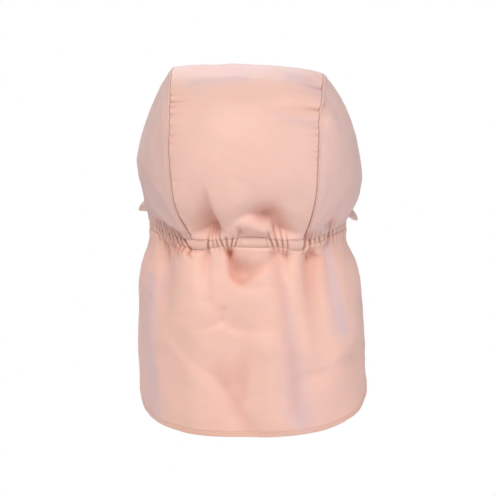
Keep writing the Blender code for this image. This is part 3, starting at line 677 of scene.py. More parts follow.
def one_fold(place: Array, fold: Fold) -> Array:
    """How deep one fold presses in, as seen from behind.

    Args:
        place: The x and z of each point, in millimetres.
        fold: The fold.

    Returns:
        The depth at each point, in millimetres.
    """
    t = np.linspace(0.0, 1.0, FOLD_SAMPLES)[:, None]
    start, bend, end = (np.array(spot, float) for spot in (fold.start, fold.bend, fold.end))
    line = (1 - t) ** 2 * start + 2 * t * (1 - t) * bend + t**2 * end
    way = unit(2 * (1 - t) * (bend - start) + 2 * t * (end - bend))
    reach = FOLD_REACH * max(fold.wide) * (1 + abs(fold.lean))
    near = np.all((place > line.min(axis=0) - reach) & (place < line.max(axis=0) + reach), axis=1)
    depth = np.zeros(len(place))
    if not near.any():
        return depth
    away = place[near][:, None] - line[None]
    distance = np.hypot(away[..., 0], away[..., 1])
    nearest = distance.argmin(axis=1)
    row = np.arange(len(nearest))
    away, distance = away[row, nearest], distance[row, nearest]
    t = t[nearest, 0]
    left = (way[nearest, 0] * away[:, 1] - way[nearest, 1] * away[:, 0]) / (distance + LEAN_BLUR)
    wide = (fold.wide[0] + (fold.wide[1] - fold.wide[0]) * t) * (1 + fold.lean * left)
    soft = bell(distance, wide)
    crease = FOLD_CUSP.at(distance, wide) * np.exp(-CREASE_FADE * (distance / wide) ** 2)
    deep = fold.deep[0] + (fold.deep[1] - fold.deep[0]) * t
    depth[near] = deep * (soft + fold.sharp * (crease - soft))
    return depth


@dataclass(frozen=True)
class Rim:
    """The oval head opening, which every other piece is sewn to."""

    half_width: float = 0.073
    half_depth: float = 0.089
    front_rise: float = 0.016
    back_drop: float = 0.006
    temple: float = math.radians(118.8)
    seam_gap: float = 0.0003

    def level(self, angle: Array) -> Array:
        """Height of the top of the band, or of the peak's root.

        Args:
            angle: The angle round the cap of each point.

        Returns:
            The heights.
        """
        degrees = np.degrees(np.abs(angle))
        back = smooth_through(RIM_LEVELS, "degrees", "back", degrees)
        front = smooth_through(RIM_LEVELS, "degrees", "front", degrees)
        return back * self.back_drop + front * self.front_rise

    def points(self, angle: Array, out: Array | float = 0.0, above: Array | float = 0.0) -> Array:
        """Points of the rim, or beside it.

        Args:
            angle: The angle round the cap of each point.
            out: How far it lies outside the rim.
            above: How far it lies above the rim's level.

        Returns:
            The points.
        """
        angle = np.asarray(angle, float)
        normal = unit(np.stack([np.sin(angle) / self.half_width, np.cos(angle) / self.half_depth], axis=-1))
        x = self.half_width * np.sin(angle) + out * normal[..., 0]
        y = self.half_depth * np.cos(angle) + out * normal[..., 1]
        return np.stack([x, y, self.level(angle) + above], axis=-1)

    def angle_of(self, points: Array) -> Array:
        """The angle round the cap that points lie at."""
        return np.arctan2(points[..., 0] / self.half_width, points[..., 1] / self.half_depth)


@dataclass
class Gathers:
    """The small gathers that the elastic draws in the band, and that run on into the crown and the flap."""

    rim: Rim
    band_height: float
    cusp: Cusp = Cusp(steep=1.5, blunt=0.03, top=0.17)
    crease_width: float = 0.0019
    widening: float = 0.8
    fading: float = 1.5
    farthest: float = 0.06
    puff: float = 0.30
    puff_width: float = 0.0034
    turned_deep: float = 0.0006
    turned_reach: float = 0.0010
    tuck: float = 0.0006
    tuck_reach: float = 0.0012
    edge_wave: float = 0.35
    wave_reach: float = 0.002
    lip_out: float = 0.0014
    lip_full: float = 0.001
    lip_high: float = 0.0035
    loose: float = 0.012
    fold_shade: float = 0.35
    gather_shade: float = 0.8
    shade_from: float = 0.0003
    shade_span: float = 0.0014
    jitter: float = 0.30
    deep_range: Spot = (0.55, 1.25)
    width_range: Spot = (0.75, 1.4)
    slant_spread: float = 0.6
    reach_spread: float = 0.45
    seed: int = 11
    creases: list[tuple[float, ...]] = field(default_factory=list)

    def __post_init__(self) -> None:
        """Places every crease of every run, a little unevenly."""
        chance = np.random.default_rng(self.seed)
        for one in GATHERS:
            at, slant = math.radians(one.degrees), math.radians(one.slant)
            self.creases.append((at, one.deep * MM, one.wide * MM, slant, one.up * MM, one.down * MM))
        for run in GATHER_RUNS:
            pitch = (run.end - run.start) / run.count
            for number in range(run.count):
                at = run.start + pitch * (number + 0.5 + self.jitter * chance.uniform(-1, 1))
                deep = run.deep * chance.uniform(*self.deep_range)
                width = self.crease_width * chance.uniform(*self.width_range)
                slant = run.slant + chance.normal(0, self.slant_spread)
                reach = chance.lognormal(0, self.reach_spread, size=2)
                ends = run.up * reach[0], run.down * reach[1]
                self.creases.append((math.radians(at), deep, width, math.radians(slant), *ends))

    def depth(self, angle: Array, above: Array) -> Array:
        """How far the gathers sink.

        Args:
            angle: The angle round the cap of each point.
            above: Its height above the band's middle.

        Returns:
            The depth, which is below 0 where cloth puffs out between creases.
        """
        radius = (self.rim.half_width + self.rim.half_depth) / 2
        beyond = np.maximum(np.abs(above) - self.band_height / 2, 0.0)
        total = np.zeros(np.broadcast(angle, above).shape)
        for at, deep, width, slant, up, down in self.creases:
            reach = np.where(above > 0, up, down)
            spread = width * (1 + self.widening * beyond / reach)
            away = np.abs(angle - (at - slant * above / self.band_height)) * radius
            shape = self.cusp.at(away, spread) - self.puff * bell(away, self.puff_width)
            total += deep * bell(beyond, reach, self.fading) * shape
        return total

    def lip(self, angle: Array, beyond: Array, edge: Edge) -> tuple[Array, Array]:
        """How the cloth sewn to the band's edge puffs out over it.

        Args:
            angle: The angle round the cap of each point.
            beyond: How far it lies beyond the band's edge.
            edge: Which cloth it is.

        Returns:
            How far it moves out, and how far it moves over the band.
        """
        over = smooth_through(OVERLAPS, "degrees", edge.value, np.degrees(angle)) * MM
        near = bell(np.maximum(beyond, 0.0), self.lip_high)
        return self.lip_out * ease(over / self.lip_full) * near, over * near

    def pull(self, angle: Array, beyond: Array, held: Array, edge: Edge) -> tuple[Array, Array, Array]:
        """How the band draws in the cloth that is sewn to it.

        Args:
            angle: The angle round the cap of each point.
            beyond: How far it lies beyond the band's edge.
            held: From 0 to 1, how much the band gathers it.
            edge: Which cloth it is.

        Returns:
            How far it sinks, how far it moves towards the band, and the depth of the gathers alone.
        """
        way = 1 if edge is Edge.CROWN else -1
        gathers = self.depth(angle, way * (beyond + self.band_height / 2)) * held
        out, over = self.lip(angle, beyond, edge)
        tucked = self.tuck * bell(beyond, self.tuck_reach) * (np.abs(angle) < self.rim.temple)
        wave = self.edge_wave * gathers * np.exp(-np.maximum(beyond, 0.0) / self.wave_reach)
        sunk = gathers + self.turned_deep * bell(beyond, self.turned_reach) - out * held
        return sunk, tucked + over * held + wave, gathers

    def shade(self, folds: Array, gathers: Array, start: float, span: float) -> Array:
        """How deep in a crease each point lies, for the painted shade in the cloth's colour.

        Args:
            folds: The depth of the folds.
            gathers: The depth of the gathers.
            start: The depth of folds where the painted shade starts.
            span: How much more depth the painted shade takes to reach full strength.

        Returns:
            Values from 0 to about 1.
        """
        by_folds = self.fold_shade * ease((folds - start) / span)
        return by_folds + self.gather_shade * ease((gathers - self.shade_from) / self.shade_span)


@dataclass(frozen=True)
class WovenFinish:
    """Smooth woven polyester: its colours, its soft sheen and its threads, with painted shade in its creases
    and a painted lilac sheen in strips.
    """

    name: str
    colour: Colour
    crease_shade_colour: Colour
    roughness: float = 0.52
    specular: float = 0.35
    sheen: float = 0.22
    sheen_roughness: float = 0.40
    sheen_tint: Colour = (0.90, 0.80, 0.88)
    thread_pitch: float = 0.00034
    thread_bump: float = 0.10
    crumple_size: float = 0.006
    crumple_bump: float = 0.22
    glow: float = 0.22
    glow_reach: float = 0.0022
    glow_colour: Colour = (1.0, 0.42, 0.30)
    drift: float = 0.09
    lilac: Colour = (0.74, 0.54, 0.54)
    seed: float = 0.0

    def material(self) -> bpy.types.Material:
        """The cloth as a material.

        Returns:
            A new material, which reads the piece's weave map, its crease values for painted shade and its
            lilac strips of painted sheen.
        """
        material = bpy.data.materials.new(self.name)
        material.use_nodes = True
        sheet = NodeSheet(material.node_tree)
        shader = material.node_tree.nodes["Principled BSDF"]
        shader.inputs["Specular IOR Level"].default_value = self.specular
        shader.inputs["Sheen Weight"].default_value = self.sheen
        shader.inputs["Sheen Roughness"].default_value = self.sheen_roughness
        shader.inputs["Sheen Tint"].default_value = (*self.sheen_tint, 1.0)
        shader.inputs["Subsurface Weight"].default_value = self.glow
        shader.inputs["Subsurface Scale"].default_value = self.glow_reach
        shader.inputs["Subsurface Radius"].default_value = self.glow_colour
        weave = sheet.weave_map()
        # Painted shade and painted sheen: the colour darkens towards the crease shade colour in creases and
        # turns lilac along the sheen strips.
        tone = sheet.group(cloth_tone(), {
            "Vector": weave,
            "Colour": (*self.colour, 1.0),
            "Crease Colour": (*self.crease_shade_colour, 1.0),
            "Crease": sheet.value_of("crease"),
            "Lilac Colour": (*self.lilac, 1.0),
            "Lilac": sheet.value_of("lilac"),
            "Roughness": self.roughness,
            "Drift": self.drift,
            "Seed": self.seed,
        })
        sheet.join(tone.outputs["Colour"], shader.inputs["Base Color"])
        sheet.join(tone.outputs["Roughness"], shader.inputs["Roughness"])
        threads = sheet.group(woven_threads(), {"Vector": weave, "Pitch": self.thread_pitch})
        sizes = {"Vector": weave, "Size": self.crumple_size, "Seed": self.seed}
        crumples = sheet.group(soft_crumples(), sizes)
        uneven = sheet.bump(crumples.outputs["Height"], self.crumple_bump, self.crumple_size / 10)
        bump = sheet.bump(threads.outputs["Height"], self.thread_bump, self.thread_pitch)
        sheet.join(uneven.outputs["Normal"], bump.inputs["Normal"])
        sheet.join(bump.outputs["Normal"], shader.inputs["Normal"])
        return material


@dataclass(frozen=True)
class ThreadFinish:
    """Sewing thread: two plies twisted together, with a silky gloss."""

    name: str
    colour: Colour
    shade_colour: Colour
    roughness: float = 0.42
    twist_pitch: float = 0.0005
    twist_bump: float = 0.4
    twist_deep: float = 0.0001

    def material(self) -> bpy.types.Material:
        """The thread as a material.

        Returns:
            A new material, which reads the piece's weave map.
        """
        material = bpy.data.materials.new(self.name)
        material.use_nodes = True
        sheet = NodeSheet(material.node_tree)
        shader = material.node_tree.nodes["Principled BSDF"]
        shader.inputs["Roughness"].default_value = self.roughness
        twist = sheet.group(thread_twist(), {"Vector": sheet.weave_map(), "Pitch": self.twist_pitch})
        ply = twist.outputs["Ply"]
        colour = sheet.mix(ply, (*self.shade_colour, 1.0), (*self.colour, 1.0))
        sheet.join(colour, shader.inputs["Base Color"])
        bump = sheet.bump(ply, self.twist_bump, self.twist_deep)
        sheet.join(bump.outputs["Normal"], shader.inputs["Normal"])
        return material


class NodeSheet:
    """Adds nodes to a tree and joins them."""

    def __init__(self, tree: bpy.types.NodeTree) -> None:
        """Works on one tree."""
        self.tree = tree

    def add(self, kind: str) -> bpy.types.Node:
        """A new node of a kind."""
        return self.tree.nodes.new(kind)

    def join(self, output: bpy.types.NodeSocket, taker: bpy.types.NodeSocket) -> None:
        """Joins an output to an input."""
        self.tree.links.new(output, taker)

    def group(self, tree: bpy.types.NodeTree, values: dict[str, object]) -> bpy.types.Node:
        """A group node.

        Args:
            tree: The group.
            values: An output or a value for each input's name.

        Returns:
            The node.
        """
        node = self.add("ShaderNodeGroup")
        node.node_tree = tree
        for name, value in values.items():
            self.put(node.inputs[name], value)
        return node

    def put(self, taker: bpy.types.NodeSocket, value: object) -> None:
        """Feeds an input.

        Args:
            taker: The input.
            value: An output to join to it, or the value to set.
        """
        if isinstance(value, bpy.types.NodeSocket):
            self.join(value, taker)
        else:
            taker.default_value = value

    def maths(self, operation: str, *values: object) -> bpy.types.NodeSocket:
        """A sum or another operation on numbers.

        Args:
            operation: The Math node's operation.
            *values: Outputs or numbers.

        Returns:
            The result's output.
        """
        node = self.add("ShaderNodeMath")
        node.operation = operation
        for taker, value in zip(node.inputs, values):
            self.put(taker, value)
        return node.outputs["Value"]

    def mix(self, share: bpy.types.NodeSocket, first: object, second: object) -> bpy.types.NodeSocket:
        """A blend of two colours.

        Args:
            share: The output that says how much of the second colour shows.
            first: An output or a colour.
            second: An output or a colour.

        Returns:
            The blend's output.
        """
        node = self.add("ShaderNodeMix")
        node.data_type = "RGBA"
        self.join(share, node.inputs["Factor"])
        self.put(node.inputs["A"], first)
        self.put(node.inputs["B"], second)
        return node.outputs["Result"]

    def bump(self, height: bpy.types.NodeSocket, strength: float, distance: float) -> bpy.types.Node:
        """A Bump node.

        Args:
            height: The output with the relief.
            strength: How strong the relief is.
            distance: How high it is, in metres.

        Returns:
            The node.
        """
        node = self.add("ShaderNodeBump")
        node.inputs["Strength"].default_value = strength
        node.inputs["Distance"].default_value = distance
        self.join(height, node.inputs["Height"])
        return node

    def weave_map(self) -> bpy.types.NodeSocket:
        """The output with a point's place in its cloth, in metres."""
        node = self.add("ShaderNodeUVMap")
        node.uv_map = "weave"
        return node.outputs["UV"]

    def value_of(self, name: str) -> bpy.types.NodeSocket:
        """A value that the piece's points carry.

        Args:
            name: The value's name.

        Returns:
            Its output.
        """
        node = self.add("ShaderNodeAttribute")
        node.attribute_name = name
        return node.outputs["Fac"]

    def moved(self, vector: bpy.types.NodeSocket, by: bpy.types.NodeSocket) -> bpy.types.NodeSocket:
        """A vector moved by a number along each axis.

        Args:
            vector: The vector's output.
            by: The number's output.

        Returns:
            The moved vector's output.
        """
        node = self.add("ShaderNodeVectorMath")
        node.operation = "ADD"
        self.join(vector, node.inputs[0])
        self.join(by, node.inputs[1])
        return node.outputs["Vector"]

    def give(self, **results: bpy.types.NodeSocket) -> None:
        """Joins the group's own outputs.

        Args:
            **results: What each is given, by its name.
        """
        node = self.add("NodeGroupOutput")
        for name, result in results.items():
            self.join(result, node.inputs[name])

    def noise(
        self, vector: bpy.types.NodeSocket, scale: float, detail: float, stretch: Point = (1, 1, 1)
    ) -> bpy.types.NodeSocket:
        """A noise between 0 and 1.

        Args:
            vector: The output that it is read over.
            scale: How fine it is.
            detail: How many finer noises it holds.
            stretch: How much finer it is along each axis.

        Returns:
            The noise's output.
        """
        mapping = self.add("ShaderNodeMapping")
        mapping.inputs["Scale"].default_value = stretch
        self.join(vector, mapping.inputs["Vector"])
        node = self.add("ShaderNodeTexNoise")
        node.inputs["Scale"].default_value = scale
        node.inputs["Detail"].default_value = detail
        self.join(mapping.outputs["Vector"], node.inputs["Vector"])
        return node.outputs["Fac"]


def new_group(
    name: str, inputs: dict[str, str], outputs: dict[str, str]
) -> tuple[bpy.types.NodeTree, NodeSheet, bpy.types.NodeOutputs]:
    """A shader node group with named sockets.

    Args:
        name: The group's name.
        inputs: The kind of socket by its name.
        outputs: The kind of socket by its name.

    Returns:
        The group, a sheet to add its nodes with, and what it is given.
    """
    tree = bpy.data.node_groups.new(name, "ShaderNodeTree")
    for in_out, sockets in (("INPUT", inputs), ("OUTPUT", outputs)):
        for socket, kind in sockets.items():
            tree.interface.new_socket(name=socket, in_out=in_out, socket_type=f"NodeSocket{kind}")
    sheet = NodeSheet(tree)
    return tree, sheet, sheet.add("NodeGroupInput").outputs


@cache
def woven_threads() -> bpy.types.NodeTree:
    """The height of a plain weave's threads, a little uneven, over a map in metres.

    Returns:
        The group, made once.
    """
    inputs = {"Vector": "Vector", "Pitch": "Float"}
    tree, sheet, given = new_group("woven_threads", inputs, {"Height": "Float"})
    split = sheet.add("ShaderNodeSeparateXYZ")
    sheet.join(given["Vector"], split.inputs["Vector"])
    waves = []
    for axis, stretch in (("X", (900, 60, 1)), ("Y", (60, 900, 1))):
        uneven = sheet.noise(given["Vector"], 1.0, 1.0, stretch)
        turns = sheet.maths("DIVIDE", split.outputs[axis], given["Pitch"])
        drift = sheet.maths("MULTIPLY", uneven, 2.0)
        turns = sheet.maths("ADD", sheet.maths("MULTIPLY", turns, math.pi), drift)
        waves.append(sheet.maths("SINE", turns))
    sheet.give(Height=sheet.maths("MULTIPLY_ADD", sheet.maths("MULTIPLY", *waves), 0.5, 0.5))
    return tree


@cache
def soft_crumples() -> bpy.types.NodeTree:
    """The height of the small soft crumples that worn cloth keeps, over a map in metres.

    Returns:
        The group, made once.
    """
    inputs = {"Vector": "Vector", "Size": "Float", "Seed": "Float"}
    tree, sheet, given = new_group("soft_crumples", inputs, {"Height": "Float"})
    node = sheet.add("ShaderNodeTexNoise")
    node.inputs["Detail"].default_value = 2.0
    node.inputs["Distortion"].default_value = 0.6
    sheet.join(sheet.moved(given["Vector"], given["Seed"]), node.inputs["Vector"])
    sheet.join(sheet.maths("DIVIDE", 1.0, given["Size"]), node.inputs["Scale"])
    sheet.give(Height=node.outputs["Fac"])
    return tree


@cache
def cloth_tone() -> bpy.types.NodeTree:
    """The cloth's colour and roughness, with clouds, thread streaks, lilac strips of painted sheen and
    painted shade in the creases.

    Returns:
        The group, made once.
    """
    colours = ("Colour", "Crease Colour", "Lilac Colour")
    inputs = {"Vector": "Vector"} | {name: "Color" for name in colours}
    inputs |= {name: "Float" for name in ("Crease", "Lilac", "Roughness", "Drift", "Seed")}
    tree, sheet, given = new_group("cloth_tone", inputs, {"Colour": "Color", "Roughness": "Float"})
    moved = sheet.moved(given["Vector"], given["Seed"])
    clouds = sheet.noise(moved, 28.0, 2.0)
    streaks = sheet.noise(moved, 1.0, 2.0, (60, 1500, 1))
    spread = sheet.maths("ADD", sheet.maths("MULTIPLY", clouds, 1.2), sheet.maths("MULTIPLY", streaks, 0.8))
    swing = sheet.maths("MULTIPLY", sheet.maths("SUBTRACT", spread, 1.0), given["Drift"])
    # Painted sheen: a lilac tint along the sheen strips.
    lilac = sheet.mix(given["Lilac"], given["Colour"], given["Lilac Colour"])
    toned = sheet.add("ShaderNodeHueSaturation")
    # Painted shade: the colour darkens towards the crease shade colour by the crease value.
    sheet.join(sheet.mix(given["Crease"], lilac, given["Crease Colour"]), toned.inputs["Color"])
    sheet.join(sheet.maths("ADD", 1.0, swing), toned.inputs["Value"])
    rough = sheet.maths("ADD", given["Roughness"], sheet.maths("MULTIPLY_ADD", clouds, 0.16, -0.08))
    sheet.give(Colour=toned.outputs["Color"], Roughness=rough)
    return tree


@cache
def thread_twist() -> bpy.types.NodeTree:
    """The plies of a twisted thread, over a map in metres along and round it.

    Returns:
        The group, made once.
    """
    tree, sheet, given = new_group("thread_twist", {"Vector": "Vector", "Pitch": "Float"}, {"Ply": "Float"})
    split = sheet.add("ShaderNodeSeparateXYZ")
    sheet.join(given["Vector"], split.inputs["Vector"])
    slanted = sheet.maths("ADD", split.outputs["X"], split.outputs["Y"])
    turns = sheet.maths("MULTIPLY", sheet.maths("DIVIDE", slanted, given["Pitch"]), 2 * math.pi)
    sheet.give(Ply=sheet.maths("MULTIPLY_ADD", sheet.maths("SINE", turns), 0.5, 0.5))
    return tree


@dataclass
class Workshop:
    """Turns grids and strips of points into dressed pieces that ride on the cap."""

    materials: dict[str, bpy.types.Material] = field(default_factory=dict)

    def finish_of(self, finish: WovenFinish | ThreadFinish) -> bpy.types.Material:
        """The finish's material, made once."""
        if finish.name not in self.materials:
            self.materials[finish.name] = finish.material()
        return self.materials[finish.name]

    def piece(
        self,
        name: str,
        points: Array,
        faces: Array,
        weave: Array,
        crease: Array,
        finish: WovenFinish | ThreadFinish,
        cloth: Cloth,
    ) -> bpy.types.Object:
        """A piece from points and four-sided faces.

        Args:
            name: The piece's name.
            points: Its points.
            faces: The numbers of each face's four points.
            weave: Each point's place in the cloth, in metres.
            crease: From 0 to 1, how deep in a crease each point lies, which darkens its colour as painted
                shade.
            finish: What it is made of.
            cloth: Not used.

        Returns:
            The piece, which rides on the cap.
        """
        mesh = bpy.data.meshes.new(name)
        mesh.from_pydata(points.reshape(-1, 3).tolist(), [], faces.tolist())
        layer = mesh.uv_layers.new(name="weave")
        corners = np.empty(len(mesh.loops), dtype=np.int32)
        mesh.loops.foreach_get("vertex_index", corners)
        layer.data.foreach_set("uv", weave.reshape(-1, 2)[corners].astype(np.float32).ravel())
        # The crease value darkens the cloth's colour: painted shade.
        values = mesh.attributes.new("crease", "FLOAT", "POINT")
        values.data.foreach_set("value", np.clip(crease, 0, 1).astype(np.float32).ravel())
        if isinstance(finish, WovenFinish):
            # Painted sheen: a lilac tint along the sheen strips.
            tint = fold_depth(points, LILAC_SHEEN_STRIPS) / MM
            values = mesh.attributes.new("lilac", "FLOAT", "POINT")
            values.data.foreach_set("value", np.clip(tint, 0, 1).astype(np.float32).ravel())
        mesh.shade_smooth()
        mesh.materials.append(self.finish_of(finish))
        made = bpy.data.objects.new(name, mesh)
        bpy.context.scene.collection.objects.link(made)
        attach(made, BODY)
        return made

    def wall(
        self,
        name: str,
        grid: Array,
        weave: Array,
        crease: Array,
        thickness: float,
        finish: WovenFinish,
        cloth: Cloth,
    ) -> bpy.types.Object:
        """A grid of points made a cloth wall, thickened inwards.

        Args:
            name: The piece's name.
            grid: Its outer surface, with rows and columns that turn its faces out.
            weave: Each point's place in the cloth, in metres.
            crease: From 0 to 1, how deep in a crease each point lies, which darkens its colour as painted
                shade.
            thickness: The wall's thickness.
            finish: What it is made of.
            cloth: The record's slot, passed on to piece.

        Returns:
            The piece.
        """
        rows, columns = grid.shape[:2]
        corner = np.arange(rows - 1)[:, None] * columns + np.arange(columns - 1)
        faces = np.stack([corner, corner + columns, corner + columns + 1, corner + 1], axis=-1).reshape(-1, 4)
        made = self.piece(name, grid, faces, weave, crease, finish, cloth)
        solid = made.modifiers.new("cloth", "SOLIDIFY")
        solid.thickness = thickness
        solid.offset = -1.0
        return made

    def strip(
        self,
        name: str,
        rings: Array,
        weave: Array,
        crease: Array,
        finish: WovenFinish,
        cloth: Cloth,
    ) -> bpy.types.Object:
        """A strip lofted through closed rings of points, with capped ends.

        Args:
            name: The piece's name.
            rings: The rings, each with as many points.
            weave: Each point's place in the cloth, in metres.
            crease: From 0 to 1, how deep in a crease each point lies, which darkens its colour as painted
                shade.
            finish: What it is made of.
            cloth: The record's slot, passed on to piece.

        Returns:
            The piece.
        """
        count, around = rings.shape[:2]
        made = self.piece(name, rings, ring_faces(count, around), weave, crease, finish, cloth)
        first = np.arange(around)
        self._cap(made, (first, first + (count - 1) * around))
        return made

    @staticmethod
    def _cap(made: bpy.types.Object, rings: Sequence[Array]) -> None:
        """Closes a strip's ends and turns its faces out.

        Args:
            made: The strip.
            rings: The numbers of the points round each end.
        """
        shape = bmesh.new()
        shape.from_mesh(made.data)
        shape.verts.ensure_lookup_table()
        for ring in rings:
            shape.faces.new([shape.verts[i] for i in ring]).smooth = True
        bmesh.ops.recalc_face_normals(shape, faces=shape.faces)
        shape.to_mesh(made.data)
        shape.free()


@dataclass
class Stitching:
    """Lines of sewing thread: short stitches that dip into the cloth at both ends."""

    workshop: Workshop
    finish: ThreadFinish
    pitch: float = 0.0026
    length: float = 0.0020
    radius: float = 0.00017
    lift: float = 0.00012
    dip: float = 1.6
    taper: float = 0.35
    tip: float = 0.98
    sides: int = 5
    rings: int = 5

    def line(self, name: str, path: Array, normals: Array, cloth: Cloth) -> bpy.types.Object:
        """Sews along a path.

        Args:
            name: The stitch line's name.
            path: Points on the cloth.
            normals: The cloth's normals there.
            cloth: The record's slot, passed on to piece.

        Returns:
            All the stitches as one piece.
        """
        along = lengths(path, 0)
        count = max(2, int(along[-1] / self.pitch))
        middle = (np.arange(count) + 0.5) * along[-1] / count
        places = at_places(path, along, middle)
        up = unit(at_places(normals, along, middle))
        ahead = at_places(path, along, middle + self.pitch / 4)
        behind = at_places(path, along, middle - self.pitch / 4)
        way = unit(ahead - behind)
        across = unit(np.cross(up, way))
        a = np.linspace(-self.tip, self.tip, self.rings)[:, None]
        turn = np.linspace(0, 2 * math.pi, self.sides, endpoint=False)[None]
        thick = self.radius * (1 - a**2) ** self.taper
        forward = a * self.length / 2 + 0 * turn
        sideways = thick * np.cos(turn)
        upward = thick * np.sin(turn) + self.lift * (1 - self.dip * a**2)
        points = (
            places[:, None, None]
            + forward[None, ..., None] * way[:, None, None]
            + sideways[None, ..., None] * across[:, None, None]
            + upward[None, ..., None] * up[:, None, None]
        )
        first = np.arange(count) * self.rings * self.sides
        faces = (ring_faces(self.rings, self.sides)[None] + first[:, None, None]).reshape(-1, 4)
        weave = np.stack([forward, self.radius * turn + 0 * forward], axis=-1)
        weave = np.broadcast_to(weave, (count, *weave.shape))
        crease = np.zeros(points.shape[:-1])
        made = self.workshop.piece(name, points, faces, weave, crease, self.finish, cloth)
        self._close(made)
        return made

    @staticmethod
    def _close(made: bpy.types.Object) -> None:
        """Closes every stitch's ends.

        Args:
            made: The stitches.
        """
        shape = bmesh.new()
        shape.from_mesh(made.data)
        edges = [edge for edge in shape.edges if edge.is_boundary]
        bmesh.ops.holes_fill(shape, edges=edges)
        bmesh.ops.recalc_face_normals(shape, faces=shape.faces)
        for face in shape.faces:
            face.smooth = True
        shape.to_mesh(made.data)
        shape.free()


@dataclass
class Crown:
    """The crown: a centre panel from the peak to the nape, and a side panel on each side."""

    rim: Rim
    gathers: Gathers
    workshop: Workshop
    stitching: Stitching
    centre_finish: WovenFinish
    side_finish: WovenFinish
    cloth: float = 0.0012
    height: float = 0.121
    half_width: float = 0.0827
    half_depth: float = 0.102
    panel_half_width: float = 0.056
    seam_back: float = math.radians(34)
    seam_front: float = math.radians(142)
    bulge_lean: float = 0.45
    bulge_at: float = 0.57
    bulge_power: float = 1.3
    settle_seam: float = 0.125
    settle_panel: float = 0.156
    top_tilt: float = 0.022
    top_sag: float = 0.0012
    shoulder_sag: float = 0.0022
    shoulder_middle: float = -0.062
    shoulder_width: float = 0.018
    sag_middle: float = -0.010
    sag_width: float = 0.042
    held: float = 0.0045
    held_in_front: float = 0.1
    fold_shade: Spot = (0.001, 0.007)
    uneven: tuple[Swell, ...] = (Swell(0.00035, 0.034, 3), Swell(0.00012, 0.013, 4))
    shared_reach: float = 0.006
    groove_deep: float = 0.0007
    groove_wide: float = 0.0006
    side_groove_wide: float = 0.00032
    shade_wide: float = 0.0008
    shade_power: float = 4
    side_share: float = 0.35
    share_wide: float = 0.0012
    allowance_high: float = 0.00016
    allowance_from: float = 0.0008
    allowance_lead: float = 0.0006
    allowance_start: float = 0.0009
    allowance_to: float = 0.0036
    allowance_end: float = 0.0012
    allowance_above: float = 0.004
    allowance_fade: float = 0.01
    stitch_from_seam: float = 0.0024
    stitch_room: float = 2.5
    pucker_seed: int = 29
    pucker_range: Spot = (0.1, 1.1)
    pucker_knots: int = 45
    pucker_power: float = 1.3
    pucker_shade: float = 0.5
    pucker_shade_span: float = 0.0008
    wander: float = 0.35
    wander_knots: int = 90
    run_end: float = 0.006
    fine_pitch: float = 0.0055
    fine_deep: float = 0.0001
    fine_reach: float = 0.005
    fine_sections: int = 400
    row_crowding: float = 0.5
    row_grading: tuple[Spot, ...] = (
        (0.0, 0.0008),
        (0.04, 0.0010),
        (0.10, 0.0014),
        (0.28, 0.0015),
        (0.30, 0.0024),
    )
    centre_grading: tuple[Spot, ...] = ((0.0, 0.0003), (0.004, 0.0006), (0.008, 0.0008))
    side_grading: tuple[Spot, ...] = (
        (0.0, 0.0003),
        (0.004, 0.0006),
        (0.010, 0.0016),
        (0.090, 0.0018),
        (0.105, 0.0009),
    )
    side_drop: float = 0.128

    def build(self) -> list[bpy.types.Object]:
        """Makes the panels and the stitch lines beside the seams.

        Returns:
            The pieces made.
        """
        sections, rows = self._rows()
        half = graded(1.0, shares(self.centre_grading, self.panel_half_width))
        across = np.concatenate([half - 1, (1 - half[::-1])[1:]])
        drop = graded(1.0, shares(self.side_grading, self.side_drop))
        centre = self._tilted(self._centre_grid(sections, rows, across))
        centre_normals = grid_normals(centre)
        if centre_normals[len(rows) // 2, len(across) // 2, 2] < 0:
            centre_normals = -centre_normals
        made = []
        for side in Side:
            grid = self._tilted(self._side_grid(sections, rows, drop, side))
            normals = self._side_normals(grid, side)
            edge = -1 if side is Side.LEFT else 0
            shared = unit(normals[:, 0] + centre_normals[:, edge])
            near = bell(lengths(grid, 1), self.shared_reach)[..., None]
            normals = unit(normals + near * (shared[:, None] - normals))
            centre_normals[:, edge] = shared
            made.extend(self._side_panel(grid, normals, side))
        made.append(self._centre_panel(centre, centre_normals))
        return made

    @staticmethod
    def _side_normals(grid: Array, side: Side) -> Array:
        """A side panel's outward normals; the end rows, which run together, take them from the next ones.

        Args:
            grid: The panel's smooth surface.
            side: Which side it is on.

        Returns:
            The normals.
        """
        grown = grid.copy()
        grown[0] = 2 * grid[1] - grid[2]
        grown[-1] = 2 * grid[-2] - grid[-3]
        normals = grid_normals(grown)
        rows, columns = grid.shape[:2]
        return -normals if normals[rows // 2, columns // 2, 0] * side.value < 0 else normals

    def _rows(self) -> tuple[Array, Array]:
        """Spreads the rows along the crown, from the peak's end to the nape.

        Returns:
            The section number of each row, and how far along the panel it is, from 0 to 1.
        """
        fine = np.linspace(0, len(CROWN_SECTIONS) - 1, self.fine_sections)
        y = self.half_depth * round_through(CROWN_SECTIONS, "y", fine)
        z = self.height * round_through(CROWN_SECTIONS, "z", fine)
        length = lengths(np.stack([y, z], axis=-1), 0)
        place = length[-1] - graded(length[-1], self.row_grading)[::-1]
        whole = 1 + self.row_crowding
        share = place / length[-1]
        rows = (whole - np.sqrt(whole**2 - 4 * self.row_crowding * share)) / (2 * self.row_crowding)
        return np.interp(place, length, fine), rows

